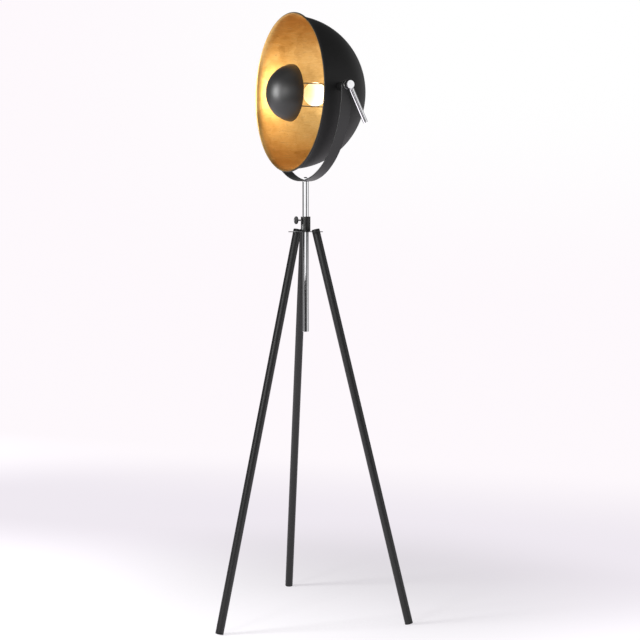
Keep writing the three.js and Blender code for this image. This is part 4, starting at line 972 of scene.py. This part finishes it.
CHROMED_LEVER = chrome_plate("chromed_lever", (1, 0.25, 0.12))

hub = [(0, LEVER_BORE_END), (PIVOT_HOLE, LEVER_BORE_END), (PIVOT_HOLE, LEVER_HUB_IN),
       (LEVER_HUB_RADIUS, LEVER_HUB_IN), (LEVER_HUB_RADIUS, LEVER_HUB_OUT - 0.0004)]
hub = eased(hub + [(LEVER_HUB_RADIUS - 0.0006, LEVER_HUB_OUT - LEVER_HUB_CROWN)], 0.0008)
for k in (0.9, 0.7, 0.5, 0.3, 0.1):
    hub.append((LEVER_HUB_RADIUS * k, LEVER_HUB_OUT - LEVER_HUB_CROWN * k ** 2))
hub += [(0, LEVER_HUB_OUT)]
hub_piece = made("lever_boss", *lathe(hub, to_side(1), 96), CHROMED_LEVER, "lever", ["lever_hub"], "chrome")

bar_plane = (LEVER_HUB_IN + LEVER_HUB_OUT) / 2
down_the_bar = Matrix.Translation((bar_plane, 0, TILT_HEIGHT)) @ Matrix.Rotation(pi + LEVER_LEAN, 4, "X")
bar_start = LEVER_HUB_RADIUS + JOINT_GAP
bar_spigot = bar_start - 0.004
bar_profile = [(0, bar_spigot), (0.003, bar_spigot), (0.003, bar_start - 0.0002), (0.0052, bar_start),
               (LEVER_BAR_RADIUS, bar_start + 0.0008), (LEVER_BAR_RADIUS, LEVER_REACH), (0, LEVER_REACH)]
bar = made("lever_bar", *lathe(eased(bar_profile, 0.0007), down_the_bar, 96), CHROMED_LEVER, "lever",
           ["lever_rod"], "chrome")
flag_off(key, pole, hub_piece, bar)
flag_off(front, pole, hub_piece, bar)

# ---------------------------------------------------------------------------
# The lampholder: a glazed porcelain body with a screwed skirt ring, a brass screw shell and a folded
# brass tongue. It stands on a zinc-plated threaded nipple, held by two nuts.
# ---------------------------------------------------------------------------
HOLDER_RADIUS, HOLDER_CAVITY = 0.020, 0.017
HOLDER_BACK, HOLDER_FRONT = -0.13485, -0.07785
HOLDER_FLOOR = HOLDER_BACK + 0.022
HOLDER_EDGE = 0.0009
RING_RADIUS, RING_GRIPS, RING_GRIP_DEPTH = 0.023, 36, 0.00045
RING_BACK, RING_FRONT = HOLDER_FRONT - 0.018, HOLDER_FRONT - 0.008

porcelain = Finish(bpy.data.materials.new("glazed_porcelain"))
glaze = porcelain.noise(0.010, detail=4)
pinholes = porcelain.band(porcelain.noise(0.0016, detail=3), 0.70, 0.74)
glazed = porcelain.mix(glaze, (0.72, 0.69, 0.62, 1), (0.80, 0.78, 0.73, 1))
PORCELAIN = porcelain.surface(
    Base_Color=porcelain.mix(pinholes * 0.4, glazed, (0.30, 0.24, 0.18, 1)),
    Roughness=0.14 + glaze * 0.10,
    Normal=porcelain.bump(glaze, 0.0002, 0.25),
)

brass_sheet = Finish(bpy.data.materials.new("pressed_brass"))
tarnish = brass_sheet.band(brass_sheet.noise(0.007, detail=6, roughness=0.7), 0.42, 0.70)
drawn_lines = brass_sheet.noise(0.0005, detail=3, stretch=(1, 0.2, 1))
BRASS = brass_sheet.surface(
    Base_Color=brass_sheet.mix(tarnish, (0.74, 0.50, 0.19, 1), (0.48, 0.28, 0.09, 1)),
    Metallic=1.0,
    Roughness=0.22 + tarnish * 0.22 + drawn_lines * 0.06,
    Normal=brass_sheet.bump(drawn_lines, 0.00002, 0.35),
)

holder = [(NIPPLE_HOLE, HOLDER_BACK), (HOLDER_RADIUS - 0.003, HOLDER_BACK),
          (HOLDER_RADIUS, HOLDER_BACK + 0.005), (HOLDER_RADIUS, HOLDER_FRONT), (HOLDER_CAVITY, HOLDER_FRONT),
          (HOLDER_CAVITY, HOLDER_FLOOR), (NIPPLE_HOLE, HOLDER_FLOOR)]
made("porcelain_holder", *lathe(eased(holder, HOLDER_EDGE, loop=True), facing, 72), PORCELAIN, "head",
     ["lampholder_body"], "porcelain")


def gripped(radius, height, angle):
    """A shape for lathe(): shallow grips round the skirt ring."""
    if radius <= RING_RADIUS - 0.0006:
        return radius, height
    return radius - RING_GRIP_DEPTH * (0.5 + 0.5 * cos(RING_GRIPS * angle)), height


skirt = sleeve(RING_RADIUS, HOLDER_RADIUS + JOINT_GAP, RING_BACK, RING_FRONT, HOLDER_EDGE)
made("holder_ring", *lathe(skirt, facing, 144, gripped),
     BLACK_PLASTIC, "head", ["lampholder_ring"], "black_plastic")
dress(BRASS, "lampholder_screw_shell", "lampholder_contact")
dress(ZINC, "nipple", "nipple_nut_rear", "nipple_nut_front")

# ---------------------------------------------------------------------------
# The bulb: a blown glass globe, frosted inside, cemented into a threaded brass base with a soldered
# tip. It is lit, so the frosting glows warm white, hottest at the middle of the globe.
# ---------------------------------------------------------------------------
GLOBE_RADIUS, GLASS_WALL = 0.030, 0.001
BULB_BACK = -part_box("bulb_contact")[1].y
GLOBE_CENTRE = BULB_BACK + 0.078
BASE_RADIUS, BASE_PITCH, BASE_THREAD_DEPTH = 0.0132, 0.0036, 0.0010
BULB_GLOW = (1.0, 0.92, 0.76, 1)
BULB_STRENGTH = 2.6
BULB_WATTS = 1.65
FILAMENT_BACK = 0.014

globe_middle = Vector((0, -GLOBE_CENTRE, TILT_HEIGHT))
frosted = Finish(bpy.data.materials.new("frosted_glass"))
frost = frosted.noise(0.004, detail=4)
filament = globe_middle + Vector((0, FILAMENT_BACK, 0))
reach = frosted.node("VectorMath", {"operation": "DISTANCE"}, {0: frosted.place(), 1: filament}, output=1)
hot = 1 - frosted.band(reach, 0.027, 0.043)
FROSTED = frosted.surface(
    Base_Color=frosted.mix(frost, (0.90, 0.88, 0.82, 1), (0.98, 0.97, 0.93, 1)),
    Roughness=0.42 + frost * 0.12,
    Emission_Color=frosted.mix(hot, (0.46, 0.27, 0.095, 1), BULB_GLOW),
    Emission_Strength=BULB_STRENGTH,
    Normal=frosted.bump(frost, 0.0001, 0.3),
)

neck = BASE_RADIUS - 0.0009
base_low, base_high = BULB_BACK + 0.0030, BULB_BACK + 0.0270
glass_back = base_low + 0.018


def envelope(inset):
    """Outline of the glass from its neck round to its tip, set in by the given thickness."""
    start = [(neck - inset, glass_back), (neck - inset, BULB_BACK + 0.031),
             (neck + 0.0012 - inset, BULB_BACK + 0.040), (neck + 0.0038 - inset, BULB_BACK + 0.0500),
             (neck + 0.0085 - inset, GLOBE_CENTRE - 0.0205)]
    globe = arc(0, GLOBE_CENTRE, GLOBE_RADIUS - inset, -34, 88, 24)
    return start + globe + [(0, GLOBE_CENTRE + GLOBE_RADIUS - inset)]


glass = envelope(0) + envelope(GLASS_WALL)[::-1]
bulb = made("bulb_globe", *lathe(glass, facing, 72), FROSTED, "head", ["bulb_glass"], "frosted_glass")
bulb.visible_shadow = False

screw_base = [(0, base_low), (0.0085, base_low), (0.0115, base_low + 0.0016)]
for height in stepped(base_low + 0.0030, base_high - 0.0006, BASE_PITCH / 9):
    screw_base.append((BASE_RADIUS, height))
screw_base += [(BASE_RADIUS - 0.0004, base_high), (neck + JOINT_GAP, base_high),
               (neck + JOINT_GAP, base_high - 0.0062), (0.0085, base_high - 0.0066), (0, base_high - 0.0066)]
base_thread = threaded(BASE_PITCH, BASE_THREAD_DEPTH, base_low + 0.0032, base_high - 0.0032)
made("bulb_screw_base", *lathe(screw_base, facing, 48, base_thread),
     ZINC, "head", ["bulb_base"], "zinc")
dress(BRASS, "bulb_contact")

light = bpy.data.lights.new("bulb_light", "POINT")
light.energy, light.color, light.shadow_soft_size = BULB_WATTS, BULB_GLOW[:3], GLOBE_RADIUS * 0.85
glow_at = bpy.data.objects.new("bulb_light", light)
glow_at.location = globe_middle
glow_at.visible_camera = False
bpy.context.collection.objects.link(glow_at)
glow_at.parent = frame["bodies"]["head"]

# ---------------------------------------------------------------------------
# The rods and their plate: a black steel disc behind the lampholder, and three black steel rods,
# shouldered and threaded at the front, where nuts hold the flat spider that carries the glare cap.
# ---------------------------------------------------------------------------
ROD_TURNS = (45, 165, 285)
ROD_RADIUS, ROD_CIRCLE = 0.0015, 0.0335
ROD_BACK, ROD_FRONT = -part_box("rod_1")[1].y, -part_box("rod_1")[0].y
SPIDER_BACK, SPIDER_FRONT = -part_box("glare_cap_spider")[1].y, -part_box("glare_cap_spider")[0].y
PLATE_BACK, PLATE_FRONT = -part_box("rod_plate")[1].y, -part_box("rod_plate")[0].y
ROD_PITCH, ROD_THREAD_DEPTH = 0.0005, 0.0002
ROD_SHOULDER, SHOULDER_REACH = 0.0026, 0.0023
ROD_NUT_RADIUS, ROD_NUT_BORE, ROD_NUT_REACH = 0.0034, 0.0018, 0.0027
ROD_DISC_RADIUS = 0.040

rod_holes = []
for number, turn in enumerate(ROD_TURNS, 1):
    x, y = ROD_CIRCLE * cos(radians(turn)), ROD_CIRCLE * sin(radians(turn))
    along = facing @ Matrix.Translation((x, y, 0))
    rod_holes.append(ring(ROD_RADIUS + JOINT_GAP, (x, y), 24))
    rod = [(0, ROD_BACK), (0.0012, ROD_BACK), (ROD_RADIUS, ROD_BACK + 0.0003),
           (ROD_RADIUS, PLATE_FRONT + JOINT_GAP), (ROD_SHOULDER, PLATE_FRONT + JOINT_GAP),
           (ROD_SHOULDER, PLATE_FRONT + SHOULDER_REACH), (ROD_RADIUS, PLATE_FRONT + SHOULDER_REACH),
           (ROD_RADIUS, SPIDER_BACK - SHOULDER_REACH), (ROD_SHOULDER, SPIDER_BACK - SHOULDER_REACH),
           (ROD_SHOULDER, SPIDER_BACK - JOINT_GAP), (ROD_RADIUS, SPIDER_BACK - JOINT_GAP)]
    rod = eased(rod, 0.0003, steps=3)
    rod += [(ROD_RADIUS, height) for height in stepped(SPIDER_BACK, ROD_FRONT - 0.0004, ROD_PITCH / 5)]
    rod += [(0.0010, ROD_FRONT), (0, ROD_FRONT)]
    rod_thread = threaded(ROD_PITCH, ROD_THREAD_DEPTH, SPIDER_BACK, ROD_FRONT)
    made(f"cap_rod_{number}", *lathe(rod, along, 24, rod_thread),
         BLACK_PAINT, "head", [f"rod_{number}"], "black_paint")
    nut_back, nut_front = SPIDER_FRONT + JOINT_GAP, SPIDER_FRONT + ROD_NUT_REACH
    rod_nut = [(ROD_NUT_BORE, nut_back), (ROD_NUT_RADIUS, nut_back), (ROD_NUT_RADIUS, nut_front),
               (ROD_NUT_BORE, nut_front)]
    rod_nut = eased(rod_nut, 0.0002, loop=True, steps=2)
    made(f"cap_nut_{number}", *lathe(rod_nut, along, 48, hexagonal(ROD_NUT_RADIUS, nut_back, nut_front)),
         ZINC, "head", [f"rod_nut_{number}"], "zinc")

disc_outlines = [ring(ROD_DISC_RADIUS, sides=96), ring(NIPPLE_HOLE, sides=32)] + rod_holes
stamped("rod_disc", disc_outlines, PLATE_BACK, PLATE_FRONT, PLATE_EDGE,
        BLACK_PAINT, "head", ["rod_plate"], "black_paint", facing)
dress(BLACK_PAINT, "glare_cap_spider")

# ---------------------------------------------------------------------------
# The glare cap: a small dome spun from thin sheet and sprayed like the shade, a little glossier. Its
# edge is turned in, and it hides the bulb from anyone in front of the lamp.
# ---------------------------------------------------------------------------
CAP_RADIUS, CAP_WALL = 0.0732, 0.0008
CAP_EDGE = BEAD_FORWARD - 0.006
CAP_CENTRE = CAP_EDGE - 0.0095

BLACK_CAP = spun_black("satin_black_spun_cap", 0.010, 0.36, TILT_HEIGHT, 0.5)


def cap_arc(radius, steps):
    """From the cap's edge round to its crown."""
    start = asin((CAP_EDGE - CAP_CENTRE) / radius) * 180 / pi
    return arc(0, CAP_CENTRE, radius, start, 89, steps) + [(0, CAP_CENTRE + radius)]


cap_outer, cap_inner = cap_arc(CAP_RADIUS, 36), cap_arc(CAP_RADIUS - CAP_WALL, 24)
edge_middle = ((cap_outer[0][0] + cap_inner[0][0]) / 2, CAP_EDGE)
made("bulb_glare_cap", *lathe(cap_outer[::-1] + [edge_middle] + cap_inner, facing, 120),
     BLACK_CAP, "head", ["glare_cap"], "black_shade")
